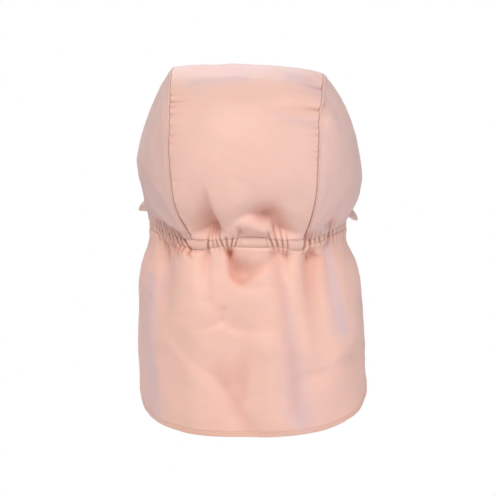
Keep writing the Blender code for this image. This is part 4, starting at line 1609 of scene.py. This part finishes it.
    def _seam_line(self, sections: Array, rows: Array, side: Side) -> Array:
        """The seam between the centre panel and a side panel.

        Args:
            sections: The section number of each row.
            rows: How far along the panel it is, from 0 to 1.
            side: Which seam it is.

        Returns:
            A point for each row.
        """
        x = side.value * self.panel_half_width * round_through(CROWN_SECTIONS, "seam_x", sections)
        sway = self.panel_half_width * round_through(CROWN_SECTIONS, "sway", sections)
        y = self.half_depth * round_through(CROWN_SECTIONS, "seam_y", sections)
        z = self.height * round_through(CROWN_SECTIONS, "seam_z", sections)
        line = np.stack([x + sway, y, z], axis=-1)
        for row, angle, away in ((0, self.seam_front, rows), (-1, self.seam_back, 1 - rows)):
            corner = self.rim.points(side.value * angle, above=self.rim.seam_gap)
            line = line + ease(1 - away / self.settle_seam)[:, None] * (corner - line[row])
        return line

    def _centre_grid(self, sections: Array, rows: Array, across: Array) -> Array:
        """The centre panel's smooth outer surface.

        Args:
            sections: The section number of each row.
            rows: How far along the panel it is, from 0 to 1.
            across: Each column's place, from -1 at the right seam to 1 at the left.

        Returns:
            A grid of points.
        """
        left = self._seam_line(sections, rows, Side.LEFT)
        right = self._seam_line(sections, rows, Side.RIGHT)
        y = self.half_depth * round_through(CROWN_SECTIONS, "y", sections)
        z = self.height * round_through(CROWN_SECTIONS, "z", sections)
        middle = np.stack([(left[:, 0] + right[:, 0]) / 2, y, z], axis=-1)
        bend = self.seam_back
        sideways = np.sin(bend * across) / math.sin(bend)
        hollow = (1 - np.cos(bend * across)) / (1 - math.cos(bend))
        half = (left - right) / 2
        drop = ((left + right) / 2 - middle) * np.array([0, 1, 1])
        spread = sideways[None, :, None] * half[:, None] + hollow[None, :, None] * drop[:, None]
        grid = middle[:, None] + spread
        sweeps = (np.pi - (np.pi - self.seam_front) * across, self.seam_back * across)
        for row, sweep, away in ((0, sweeps[0], rows), (-1, sweeps[1], 1 - rows)):
            sweep = np.where(sweep > np.pi, sweep - 2 * np.pi, sweep)
            rim = self.rim.points(sweep, above=self.rim.seam_gap)
            grid = grid + ease(1 - away / self.settle_panel)[:, None, None] * (rim - grid[row])[None]
        return grid

    def _side_grid(self, sections: Array, rows: Array, drop: Array, side: Side) -> Array:
        """A side panel's smooth outer surface: each column runs from the seam down to the rim.

        Args:
            sections: The section number of each row.
            rows: How far along the panel it is, from 0 to 1.
            drop: Each column's place, from 0 at the seam to 1 at the rim.
            side: Which side it is on.

        Returns:
            A grid of points.
        """
        seam = self._seam_line(sections, rows, side)
        foot_angle = np.radians(round_through(CROWN_SECTIONS, "foot", sections))
        ends = (foot_angle.min(), foot_angle.max())
        foot_angle = np.interp(foot_angle, ends, (self.seam_back, self.seam_front))
        foot = self.rim.points(side.value * foot_angle, above=self.rim.seam_gap)
        standing = smooth_through(SIDE_SECTIONS, "drop", side.name.lower(), drop)
        chord = np.linalg.norm(foot - seam, axis=-1)
        lean = math.pi / 2 - (math.pi / 2 - foot_angle) * self.bulge_lean
        outwards = np.stack([side.value * np.sin(lean), np.cos(lean), np.zeros_like(lean)], axis=-1)
        middle = int(np.argmax(chord))
        fullest = seam[middle] + self.bulge_at * (foot[middle] - seam[middle])
        reach = self.half_width - abs(fullest[0])
        amount = reach * (chord / chord[middle]) ** self.bulge_power
        grid = seam[:, None] + drop[None, :, None] * (foot - seam)[:, None]
        return grid + amount[:, None, None] * standing[None, :, None] * outwards[:, None]

    def _tilted(self, points: Array) -> Array:
        """Leans the crown's top a little to one side and lets it sag.

        Args:
            points: Points of the upright crown.

        Returns:
            The same points moved; what lies no higher than the rim stays level.
        """
        low = 2 * self.rim.front_rise
        share = np.clip((points[..., 2] - low) / (self.height - low), 0.0, 1.0)
        moved = points.copy()
        moved[..., 2] += self.top_tilt * points[..., 0] * share
        sag = bell(points[..., 0] - self.sag_middle, self.sag_width)
        shoulder = bell(points[..., 0] - self.shoulder_middle, self.shoulder_width)
        moved[..., 2] -= share**3 * (self.top_sag * sag + self.shoulder_sag * shoulder)
        return moved

    def _pressed(self, grid: Array) -> tuple[Array, Array, Array]:
        """How far folds, gathers and unevenness press the cloth in.

        Args:
            grid: The panel's smooth surface.

        Returns:
            The depth pressed in, the crease value for painted shade and how far the cloth moves down over the
            band.
        """
        angle = self.rim.angle_of(grid)
        above = grid[..., 2] - self.rim.level(angle) - self.rim.seam_gap
        folds = fold_depth(grid, CROWN_FOLDS) * ease(above / self.held)
        held = np.where(np.abs(angle) < self.rim.temple, 1.0, self.held_in_front)
        held = held * (above < self.gathers.farthest)
        sunk, down, gathers = self.gathers.pull(angle, above, held, Edge.CROWN)
        uneven = sum(swell.over(grid) for swell in self.uneven)
        pressed = folds + sunk + uneven * ease(above / self.gathers.loose)
        return pressed, self.gathers.shade(folds, gathers, *self.fold_shade), down

    def _puckers(self, seam: Array, from_seam: Array, side: Side) -> Array:
        """How far the wrinkles that cross a seam press in.

        Args:
            seam: The seam's points.
            from_seam: The distance from the seam of each point, a row for each of the seam's points.
            side: Which seam it is.

        Returns:
            The depth at each point.
        """
        chance = np.random.default_rng(self.pucker_seed + side.value)
        along = lengths(seam, 0)

        def uneven(low: float, high: float, knots: int) -> Array:
            """A seeded value that wanders between two others along the seam."""
            return np.interp(along, np.linspace(0, along[-1], knots), chance.uniform(low, high, knots))

        total = np.zeros_like(from_seam)
        for run in (run for run in PUCKER_RUNS if run.side is side):
            turns = along / run.pitch + uneven(-self.wander, self.wander, self.wander_knots)
            wave = (0.5 + 0.5 * np.cos(2 * math.pi * turns)) ** 2
            within = ease((seam[:, 2] - run.low) / self.run_end)
            within = within * ease((run.high - seam[:, 2]) / self.run_end)
            behind = ease(seam[:, 1] / BEHIND_SPAN)
            depth = run.deep * wave * within * behind * uneven(*self.pucker_range, self.pucker_knots)
            total += depth[:, None] * bell(from_seam, run.reach, self.pucker_power)
        turns = along / self.fine_pitch + uneven(-self.wander, self.wander, self.wander_knots)
        wave = self.fine_deep * np.cos(2 * math.pi * turns)
        return total + wave[:, None] * np.exp(-from_seam / self.fine_reach)

    def _centre_panel(self, grid: Array, normals: Array) -> bpy.types.Object:
        """Makes the centre panel.

        Args:
            grid: Its smooth surface.
            normals: Its outward normals.

        Returns:
            The piece.
        """
        across = lengths(grid, 1)
        pressed, crease, down = self._pressed(grid)
        puckers = np.zeros_like(across)
        for side, edge, from_seam in ((Side.RIGHT, 0, across), (Side.LEFT, -1, across[:, -1:] - across)):
            puckers += self._puckers(grid[:, edge], from_seam, side)
            pressed += self.groove_deep * bell(from_seam, self.groove_wide)
            # Painted shade: a dark line along each seam, where the centre panel's edge sinks in beside the
            # side panel.
            crease += bell(from_seam, self.shade_wide, self.shade_power)
        pressed += puckers
        # Painted shade in the hollows of the puckers.
        crease += self.pucker_shade * ease(puckers / self.pucker_shade_span)
        points = grid - pressed[..., None] * normals
        points[..., 2] -= down
        weave = np.stack([across - across[:, -1:] / 2, lengths(grid, 0)], axis=-1)
        turned = points[::-1], weave[::-1], crease[::-1]
        made = self.workshop.wall("centre_panel", *turned, self.cloth, self.centre_finish, Cloth.CENTRE)
        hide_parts("crown_centre_panel")
        return made

    def _side_panel(self, grid: Array, normals: Array, side: Side) -> list[bpy.types.Object]:
        """Makes a side panel and the stitch line along its seam.

        Args:
            grid: Its smooth surface.
            normals: Its outward normals.
            side: Which side it is on.

        Returns:
            The panel and its stitches.
        """
        from_seam = lengths(grid, 1)
        word = side.name.lower()
        pressed, crease, down = self._pressed(grid)
        taken = self.side_share + (1 - self.side_share) * bell(from_seam, self.share_wide)
        pressed += self._puckers(grid[:, 0], from_seam, side) * taken
        pressed += self.groove_deep * bell(from_seam, self.side_groove_wide)
        rise = ease((from_seam - self.allowance_from + self.allowance_lead) / self.allowance_start)
        fall = 1 - ease((from_seam - self.allowance_to) / self.allowance_end)
        above = grid[..., 2] - self.rim.level(self.rim.angle_of(grid))
        low = ease((above - self.allowance_above) / self.allowance_fade)
        pressed -= self.allowance_high * rise * fall * low
        points = grid - pressed[..., None] * normals
        points[..., 2] -= down
        weave = np.stack([from_seam, lengths(grid, 0)], axis=-1)
        way = slice(None) if side is Side.RIGHT else slice(None, None, -1)
        made = self.workshop.wall(
            f"{word}_panel", points[way], weave[way], crease[way], self.cloth, self.side_finish, Cloth.SIDE
        )
        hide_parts(f"crown_{word}_panel")
        wide_rows = np.flatnonzero(from_seam[:, -1] > self.stitch_room * self.stitch_from_seam)
        path, up = (
            np.array([at_places(values[i], from_seam[i], self.stitch_from_seam) for i in wide_rows])
            for values in (points, normals)
        )
        return [made, self.stitching.line(f"{word}_seam_stitches", path, up, Cloth.SIDE)]


@dataclass
class Band:
    """The gathered casing of the elastic, round the back from temple to temple."""

    rim: Rim
    gathers: Gathers
    workshop: Workshop
    stitching: Stitching
    finish: WovenFinish
    cloth: float = 0.0012
    height: float = 0.0071
    thickness: float = 0.0026
    step: float = 0.00042
    face_edge: float = 0.6
    edge_power: int = 4
    shade_from: float = 0.0003
    shade_span: float = 0.0011
    stitch_share: float = 0.13

    def build(self) -> list[bpy.types.Object]:
        """Makes the band and its two stitch lines.

        Returns:
            The pieces made.
        """
        radius = (self.rim.half_width + self.rim.half_depth) / 2
        last = self.rim.temple - self.rim.seam_gap / 2 / radius
        angles = np.linspace(-last, last, int(2 * last * radius / self.step))
        across = column(BAND_SECTION, "across")
        out = column(BAND_SECTION, "out")
        sunk = self.gathers.depth(angles[:, None], (0.5 - across)[None] * self.height)
        face = ease((out + self.face_edge) / (2 * self.face_edge))[None]
        reach = out[None] * self.thickness / 2 - self.cloth / 2 - sunk * face
        to_edge = (np.abs(across - 0.5) * 2)[None] ** self.edge_power
        wave = self.gathers.edge_wave * sunk * np.sign(0.5 - across)[None] * to_edge
        rings = self.rim.points(
            np.broadcast_to(angles[:, None], reach.shape),
            out=reach,
            above=-across[None] * self.height - wave,
        )
        weave = np.stack(np.broadcast_arrays(angles[:, None] * radius, across[None] * self.height), axis=-1)
        # Painted shade: the colour darkens in the creases of the gathers.
        crease = ease((sunk * face - self.shade_from) / self.shade_span)
        made = self.workshop.strip("gathered_band", rings, weave, crease, self.finish, Cloth.BAND)
        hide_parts("elastic_band")
        pieces = [made]
        normals = self.rim.points(angles, out=1.0) - self.rim.points(angles)
        outer = np.flatnonzero(out >= 0)
        for word, share in (("upper", self.stitch_share), ("lower", 1 - self.stitch_share)):
            spot = outer[int(np.argmin(np.abs(across[outer] - share)))]
            pieces.append(self.stitching.line(f"{word}_band_stitches", rings[:, spot], normals, Cloth.BAND))
        return pieces


@dataclass
class Peak:
    """The short soft peak, with a line of stitches near its edge."""

    rim: Rim
    workshop: Workshop
    stitching: Stitching
    finish: WovenFinish
    cloth: float = 0.0012
    length: float = 0.060
    half_width: float = 0.0856
    sway: float = -0.0002
    thickness: float = 0.0018
    front_level: float = 0.008
    left_level: float = 0.0068
    right_level: float = -0.0012
    arch: float = 0.06
    horn: float = 0.004
    horn_reach: float = 0.25
    side_curl: float = 0.0100
    curl_reach: float = 0.0042
    curl_from: float = 0.42
    curl_span: float = 0.25
    curl_end: float = 0.12
    curl_power: float = 1.2
    seat_lift: float = 0.0007
    seat_reach: float = 0.004
    roll_deep: float = 0.0006
    roll_wide: float = 0.0012
    stitch_from_edge: float = 0.0036
    stitch_margin: int = 8
    sewn_deep: float = 0.00025
    sewn_wide: float = 0.0006
    uneven: Swell = Swell(0.0002, 0.03, 8)
    uneven_from: float = 0.006
    shade_span: float = 0.003
    columns: int = 201
    rows: int = 81

    def build(self) -> list[bpy.types.Object]:
        """Makes the peak and its stitch line.

        Returns:
            The pieces made.
        """
        across = np.linspace(-1.0, 1.0, self.columns)
        out = np.linspace(0.0, 1.0, self.rows)
        root, edge = self._root_and_edge(across)
        top = root[None] + out[:, None, None] * (edge - root)[None]
        top[..., 2] += self.arch * self.length * np.sin(math.pi * out)[:, None] * (1 - across**2)[None]
        to_edge = np.linalg.norm(edge - root, axis=-1)[None] * (1 - out[:, None])
        sideways = ease((np.abs(across) - self.curl_from) / self.curl_span)
        sideways = sideways * ease((1 - np.abs(across)) / self.curl_end)
        curl = self.side_curl * sideways[None] * out[:, None] ** self.curl_power
        seated = ease(1 - lengths(top, 0) / self.seat_reach)
        top[..., 2] += curl * (1 - np.exp(-to_edge / self.curl_reach)) + self.seat_lift * seated
        normals = grid_normals(top)
        if normals[self.rows // 2, self.columns // 2, 2] < 0:
            normals = -normals
        from_edge = lengths(top[::-1], 0)[::-1]
        roll = self.roll_deep * bell(from_edge, self.roll_wide)
        roll = roll + self.sewn_deep * bell(from_edge - self.stitch_from_edge, self.sewn_wide)
        uneven = self.uneven.over(top) * ease(from_edge / self.uneven_from)
        pressed = (roll + uneven) * (1 - seated)
        points = top - pressed[..., None] * normals
        weave = np.stack([lengths(top, 1), lengths(top, 0)], axis=-1)
        # Painted shade: the colour darkens where the edge rolls in, along the sewn groove and in the cloth's
        # hollows.
        crease = ease(pressed / self.shade_span)
        made = self.workshop.wall("soft_peak", points, weave, crease, self.thickness, self.finish, Cloth.PEAK)
        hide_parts("peak")
        spots = np.arange(self.stitch_margin, self.columns - self.stitch_margin)
        row = np.abs(from_edge[:, spots] - self.stitch_from_edge).argmin(axis=0)
        path, up = points[row, spots], normals[row, spots]
        return [made, self.stitching.line("peak_stitches", path, up, Cloth.PEAK)]

    def _root_and_edge(self, across: Array) -> tuple[Array, Array]:
        """The peak's sewn edge and its free edge.

        Args:
            across: Places from -1 at the right temple to 1 at the left.

        Returns:
            A point of each edge for each place.
        """
        end_angle = self.rim.temple + self.rim.seam_gap / self.rim.half_width
        angles = np.pi - (np.pi - end_angle) * across
        root = self.rim.points(np.where(angles > np.pi, angles - 2 * np.pi, angles), out=-self.cloth)
        along = np.abs(across) * (len(PEAK_EDGE) - 1)
        x = self.sway + np.sign(across) * self.half_width * round_through(PEAK_EDGE, "x", along)
        y = -self.rim.half_depth - self.length * round_through(PEAK_EDGE, "y", along)
        level = np.where(across > 0, self.left_level, self.right_level)
        z = self.front_level + (level - self.front_level) * round_through(PEAK_EDGE, "droop", along)
        edge = np.stack([x, y, z], axis=-1)
        horns = self.rim.points(np.array([-end_angle, end_angle]), out=self.horn)
        for row, point in ((0, horns[0]), (-1, horns[1])):
            near = ease(1 - np.abs(across - across[row]) / self.horn_reach)
            edge = edge + near[:, None] * (point - edge[row])
        return root, edge


@dataclass
class Flap:
    """The neck flap that hangs from the band, with a turned hem round its free edge."""

    rim: Rim
    gathers: Gathers
    workshop: Workshop
    stitching: Stitching
    hem_stitching: Stitching
    finish: WovenFinish
    hem_finish: WovenFinish
    cloth: float = 0.0012
    band_height: float = 0.0071
    length: float = 0.1345
    half_width: float = 0.0850
    half_depth: float = 0.103
    lean: float = 0.0042
    corner_level: float = 0.080
    corner_share: float = 0.45
    setback: float = math.radians(2.8)
    lower_setback: float = math.radians(12.8)
    outline_power: float = 2.42
    square_power: float = 0.80
    held: float = 0.0040
    fold_shade: Spot = (0.0008, 0.005)
    uneven: tuple[Swell, ...] = (Swell(0.0005, 0.040, 5), Swell(0.00016, 0.015, 6))
    normal_step: float = 0.004
    hem_rise: float = 0.0022
    hem_width: float = 0.0038
    hem_thickness: float = 0.0022
    hem_step: float = 0.0008
    hem_overlap: float = 0.85
    hem_seed: int = 17
    hem_uneven: float = 0.00012
    hem_uneven_from: float = 0.3
    hem_uneven_every: int = 4
    hem_shade: float = 0.1
    hem_stitch_share: float = 0.72
    columns: int = 420
    edge_points: int = 60
    half_points: int = 400
    outline_points: int = 801
    row_grading: tuple[Spot, ...] = ((0.0, 0.0007), (0.02, 0.0009), (0.04, 0.0016), (0.13, 0.0016))

    def build(self) -> list[bpy.types.Object]:
        """Makes the flap, its hem and the hem's stitches.

        Returns:
            The pieces made.
        """
        pattern = self._pattern()
        points, _, crease = self._surface(pattern)
        flap = self.workshop.wall(
            "hanging_flap", points, pattern, crease, self.cloth, self.finish, Cloth.FLAP
        )
        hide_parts("neck_flap")
        hem, stitches = self._hem()
        outline = self._whole_outline(0.0, self.outline_points)
        return [flap, hem, stitches]

    def _top(self, angle: Array | float) -> Array:
        """The height of the flap's upper edge, under the band, at an angle round the cap."""
        return self.rim.level(angle) - self.band_height - self.rim.seam_gap

    def _point(self, angle: Array, level: Array) -> Array:
        """The flap's outer surface before its folds.

        Args:
            angle: The angle round the cap of each point.
            level: Its height.

        Returns:
            The points.
        """
        down = np.clip((self._top(angle) - level) / self.length, 0.0, 1.0)
        side = smooth_through(FLAP_FLARE, "down", "side", down)
        back = smooth_through(FLAP_FLARE, "down", "back", down)
        half_width = self.rim.half_width + (self.half_width - self.rim.half_width) * side
        half_depth = self.rim.half_depth + (self.half_depth - self.rim.half_depth) * back
        power = 1 + (self.square_power - 1) * side
        x = half_width * np.sign(np.sin(angle)) * np.abs(np.sin(angle)) ** power - self.lean * down
        y = half_depth * np.sign(np.cos(angle)) * np.abs(np.cos(angle)) ** power
        return np.stack([x, y, level], axis=-1)

    def _surface(self, pattern: Array) -> tuple[Array, Array, Array]:
        """The folded flap.

        Args:
            pattern: Places in its pattern: the length round the cap, and the height.

        Returns:
            The points, the outward normals and the crease values for painted shade there.
        """
        angle, level = pattern[..., 0] / self.half_width, pattern[..., 1]
        step = self.normal_step * self.length
        here = self._point(angle, level)
        round_it = self._point(angle + step / self.half_width, level) - here
        normals = unit(np.cross(round_it, self._point(angle, level + step) - here))
        normals *= np.sign((normals[..., :2] * here[..., :2]).sum(axis=-1))[..., None]
        below = self._top(angle) - level
        folds = fold_depth(here, FLAP_FOLDS) * ease(below / self.held)
        held = (below < self.gathers.farthest) * 1.0
        sunk, up, gathers = self.gathers.pull(self.rim.angle_of(here), below, held, Edge.FLAP)
        uneven = sum(swell.over(here) for swell in self.uneven)
        pressed = folds + sunk + uneven * ease(below / self.gathers.loose)
        points = here - pressed[..., None] * normals
        points[..., 2] += up
        return points, normals, self.gathers.shade(folds, gathers, *self.fold_shade)

    def _half_outline(self, count: int) -> Array:
        """Half of the flap's outline in its pattern, from the temple down and along the hem to the nape.

        Args:
            count: How many points the side takes; the corner and the hem take twice as many.

        Returns:
            The points.
        """
        low_half = (self.rim.temple - self.lower_setback) * self.half_width
        top_half = (self.rim.temple - self.setback) * self.half_width
        top_level = self._top(self.rim.temple - self.setback) - self.rim.seam_gap
        bottom_level = self._top(0.0) - self.length
        corner_level = bottom_level + self.corner_level
        rise = np.linspace(1.0, 0.0, count)
        across = low_half + (top_half - low_half) * ease(rise)
        edge = np.stack([across, corner_level + (top_level - corner_level) * rise], axis=-1)
        turn = np.linspace(math.pi / 2, 0.0, 2 * count)
        power = 2 / self.outline_power
        side = low_half * np.sin(turn) ** power
        down = (corner_level - bottom_level) * np.maximum(np.cos(turn), 0) ** power
        return np.concatenate([edge, np.stack([side, corner_level - down], axis=-1)[1:]])

    def _whole_outline(self, inset: float, count: int) -> Array:
        """The flap's outline in its pattern, from one temple to the other.

        Args:
            inset: How far it is moved in.
            count: How many points it takes, evenly spaced.

        Returns:
            The points.
        """
        half = evenly(self._half_outline(self.edge_points), self.half_points)
        whole = np.concatenate([half, (half * np.array([-1, 1]))[::-1][1:]])
        low = ease((self.rim.level(0.0) - whole[:, 1]) / self.length)
        whole[:, 1] += self.hem_rise * low * ease(-whole[:, 0] / self.half_width)
        tangent = unit(np.gradient(whole, axis=0))
        inwards = np.stack([tangent[:, 1], -tangent[:, 0]], axis=-1)
        return evenly(whole + inset * inwards, count)

    def _pattern(self) -> Array:
        """The flap's pattern, which fills its outline up to the hem.

        Returns:
            A grid of places: the length round the cap, and the height.
        """
        outline = self._whole_outline(self.hem_width * self.hem_overlap, self.outline_points)
        corner = self._top(0.0) - self.length + self.corner_level * self.corner_share
        low = int(np.argmin(np.abs(outline[: self.half_points, 1] - corner)))
        left_line, right_line = outline[: low + 1], outline[::-1][: low + 1]
        left_along, right_along = lengths(left_line, 0), lengths(right_line, 0)
        v = graded(left_along[-1], self.row_grading) / left_along[-1]
        left = at_places(left_line, left_along, v * left_along[-1])
        right = at_places(right_line, right_along, v * right_along[-1])
        bottom = evenly(outline[low : len(outline) - low], self.columns)
        top_x = np.linspace(left[0, 0], right[0, 0], self.columns)
        top = np.stack([top_x, self._top(top_x / self.half_width)], axis=-1)
        left[0], right[0] = top[0], top[-1]
        u = np.linspace(0, 1, self.columns)[None, :, None]
        v = v[:, None, None]
        sides = (1 - u) * left[:, None] + u * right[:, None]
        ends = (1 - v) * top[None] + v * bottom[None]
        corners = (1 - v) * ((1 - u) * top[0] + u * top[-1]) + v * ((1 - u) * bottom[0] + u * bottom[-1])
        return ends + sides - corners

    def _hem(self) -> tuple[bpy.types.Object, bpy.types.Object]:
        """Makes the hem and its stitches.

        Returns:
            The two pieces.
        """
        count = int(lengths(self._whole_outline(0.0, self.outline_points), 0)[-1] / self.hem_step)
        chance = np.random.default_rng(self.hem_seed)
        knots = np.arange(0, count + self.hem_uneven_every, self.hem_uneven_every)
        uneven = self.hem_uneven * np.interp(np.arange(count), knots, chance.uniform(-1, 1, len(knots)))
        rings, weave = [], []
        for spot in HEM_SECTION:
            line = self._whole_outline(spot.across * self.hem_width, count)
            points, normals, _ = self._surface(line)
            out = spot.out * self.hem_thickness / 2 - self.cloth / 2
            out = out + uneven * (self.hem_uneven_from + spot.across)
            rings.append(points + out[:, None] * normals)
            weave.append(np.stack([lengths(line, 0), np.full(count, spot.across * self.hem_width)], axis=-1))
        rings = np.stack(rings, axis=1)
        weave = np.stack(weave, axis=1)
        # Painted shade on the hem's faces that turn in under it.
        crease = np.broadcast_to((column(HEM_SECTION, "out") < 0.0)[None] * self.hem_shade, rings.shape[:2])
        hem = self.workshop.strip("turned_hem", rings, weave, crease, self.hem_finish, Cloth.HEM)
        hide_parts("flap_hem")
        spot = int(np.argmin(np.abs(column(HEM_SECTION, "across") - self.hem_stitch_share)))
        _, normals, _ = self._surface(self._whole_outline(self.hem_stitch_share * self.hem_width, count))
        stitches = self.hem_stitching.line("hem_stitches", rings[:, spot], normals, Cloth.HEM)
        return hem, stitches


@dataclass
class Studio:
    """A plain pale floor, soft studio light and the camera behind the cap."""

    target: Point = (0.0, 0.0, -0.01725)
    distance: float = 1.8
    elevation: float = math.radians(5)
    lens: float = 174.2
    sensor: float = 36.0
    floor_level: float = -0.62
    floor_size: float = 16.0
    surround: float = 0.27
    lamps: tuple[Lamp, ...] = (
        Lamp("key_light", (0.28, 1.85, 2.0), 1.1, 41.5, (1.0, 0.97, 0.94)),
        Lamp("left_fill", (1.9, 1.0, 0.3), 1.4, 9.0, (0.82, 0.86, 1.0)),
        Lamp("right_fill", (-1.9, 1.0, 0.3), 1.4, 16.0, (0.82, 0.86, 1.0)),
        Lamp("front_light", (0.4, -2.2, 1.6), 1.6, 27.0, (0.84, 0.88, 1.0)),
    )

    def build(self) -> None:
        """Makes the floor, the surround, the lights and the camera."""
        self._camera()
        self._floor()
        self._world()
        for lamp in self.lamps:
            self._light(lamp)
        settings = bpy.context.scene.view_settings
        settings.view_transform = "Standard"
        settings.look = "None"

    def _camera(self) -> None:
        """The camera: behind the cap and a little above it."""
        data = bpy.data.cameras.new("camera")
        data.lens = self.lens
        data.sensor_width = self.sensor
        camera = bpy.data.objects.new("camera", data)
        x, y, z = self.target
        camera.location = (
            x,
            y + self.distance * math.cos(self.elevation),
            z + self.distance * math.sin(self.elevation),
        )
        camera.rotation_euler = (math.pi / 2 - self.elevation, 0.0, math.pi)
        bpy.context.scene.collection.objects.link(camera)
        bpy.context.scene.camera = camera

    def _floor(self) -> None:
        """The floor, pale enough to meet the surround without a line."""
        bpy.ops.mesh.primitive_plane_add(size=self.floor_size, location=(0, 0, self.floor_level))
        floor = bpy.context.object
        floor.name = "studio_floor"
        material = bpy.data.materials.new("studio_floor")
        material.use_nodes = True
        shader = material.node_tree.nodes["Principled BSDF"]
        shader.inputs["Base Color"].default_value = (0.9, 0.9, 0.9, 1.0)
        shader.inputs["Roughness"].default_value = 0.9
        shader.inputs["Specular IOR Level"].default_value = 0.1
        sheet = NodeSheet(material.node_tree)
        path = sheet.add("ShaderNodeLightPath")
        glow = sheet.add("ShaderNodeEmission")
        mix = sheet.add("ShaderNodeMixShader")
        out = material.node_tree.nodes["Material Output"]
        sheet.join(path.outputs["Is Camera Ray"], mix.inputs["Fac"])
        sheet.join(shader.outputs["BSDF"], mix.inputs[1])
        sheet.join(glow.outputs["Emission"], mix.inputs[2])
        sheet.join(mix.outputs["Shader"], out.inputs["Surface"])
        floor.data.materials.append(material)

    def _world(self) -> None:
        """A white surround that lights softly."""
        world = bpy.data.worlds.new("studio")
        world.use_nodes = True
        sheet = NodeSheet(world.node_tree)
        background = world.node_tree.nodes["Background"]
        background.inputs["Color"].default_value = (1.0, 1.0, 1.0, 1.0)
        path = sheet.add("ShaderNodeLightPath")
        seen = path.outputs["Is Camera Ray"]
        strength = sheet.maths("MULTIPLY_ADD", seen, 1.0 - self.surround, self.surround)
        sheet.join(strength, background.inputs["Strength"])
        bpy.context.scene.world = world

    def _light(self, lamp: Lamp) -> None:
        """Hangs a lamp, turned to the cap.

        Args:
            lamp: What it is like.
        """
        data = bpy.data.lights.new(lamp.name, "AREA")
        data.shape = "SQUARE"
        data.size = lamp.size
        data.energy = lamp.power
        data.color = lamp.colour
        light = bpy.data.objects.new(lamp.name, data)
        light.location = lamp.place
        away = np.array(lamp.place) - np.array(self.target)
        flat = math.hypot(away[0], away[1])
        light.rotation_euler = (math.atan2(flat, away[2]), 0.0, math.atan2(away[0], -away[1]))
        bpy.context.scene.collection.objects.link(light)


def main() -> None:
    """Builds the cap's classes in order and reports each piece."""
    logging.basicConfig(level=logging.INFO, format="%(name)s: %(message)s")
    rim = Rim()
    workshop = Workshop()
    thread = ThreadFinish(name="sewing_thread", colour=(0.80, 0.52, 0.44), shade_colour=(0.56, 0.32, 0.26))
    pale = ThreadFinish(name="hem_thread", colour=(0.90, 0.60, 0.49), shade_colour=(0.80, 0.47, 0.36))
    stitching = Stitching(workshop=workshop, finish=thread)
    hem_stitching = Stitching(workshop=workshop, finish=pale)
    # Each cloth's crease shade colour is painted shade, mixed in by its crease values.
    centre = WovenFinish(
        name="centre_panel_cloth", colour=(0.89, 0.565, 0.465), crease_shade_colour=(0.62, 0.27, 0.19),
    )
    # The side panels' cloth is a darker, cooler copy of the centre's: painted shade and painted grazing sheen
    # on the sides, which turn away from the light.
    side = WovenFinish(
        name="side_panel_cloth", colour=(0.82, 0.545, 0.470), crease_shade_colour=(0.58, 0.26, 0.19), seed=1.3,
    )
    gathered = WovenFinish(
        name="band_cloth", colour=(0.83, 0.535, 0.435), crease_shade_colour=(0.52, 0.24, 0.17), seed=2.1,
    )
    peak = WovenFinish(
        name="peak_cloth", colour=(0.80, 0.54, 0.47), crease_shade_colour=(0.66, 0.33, 0.26), seed=3.7,
    )
    flap = WovenFinish(
        name="flap_cloth", colour=(0.91, 0.565, 0.455), crease_shade_colour=(0.64, 0.27, 0.18), seed=4.9,
    )
    hem = WovenFinish(name="hem_cloth", colour=(0.84, 0.51, 0.39), crease_shade_colour=(0.62, 0.32, 0.24), seed=5.5)
    gathers = Gathers(rim=rim, band_height=Band.height)
    shared = {"rim": rim, "workshop": workshop, "stitching": stitching}
    parts = (
        Crown(gathers=gathers, centre_finish=centre, side_finish=side, **shared),
        Band(gathers=gathers, finish=gathered, **shared),
        Peak(finish=peak, **shared),
        Flap(gathers=gathers, finish=flap, hem_finish=hem, hem_stitching=hem_stitching, **shared),
    )
    for part in parts:
        for piece in part.build():
            LOG.info("%s: %s with %d faces", type(part).__name__, piece.name, len(piece.data.polygons))
    Studio().build()


if __name__ == "__main__":
    main()
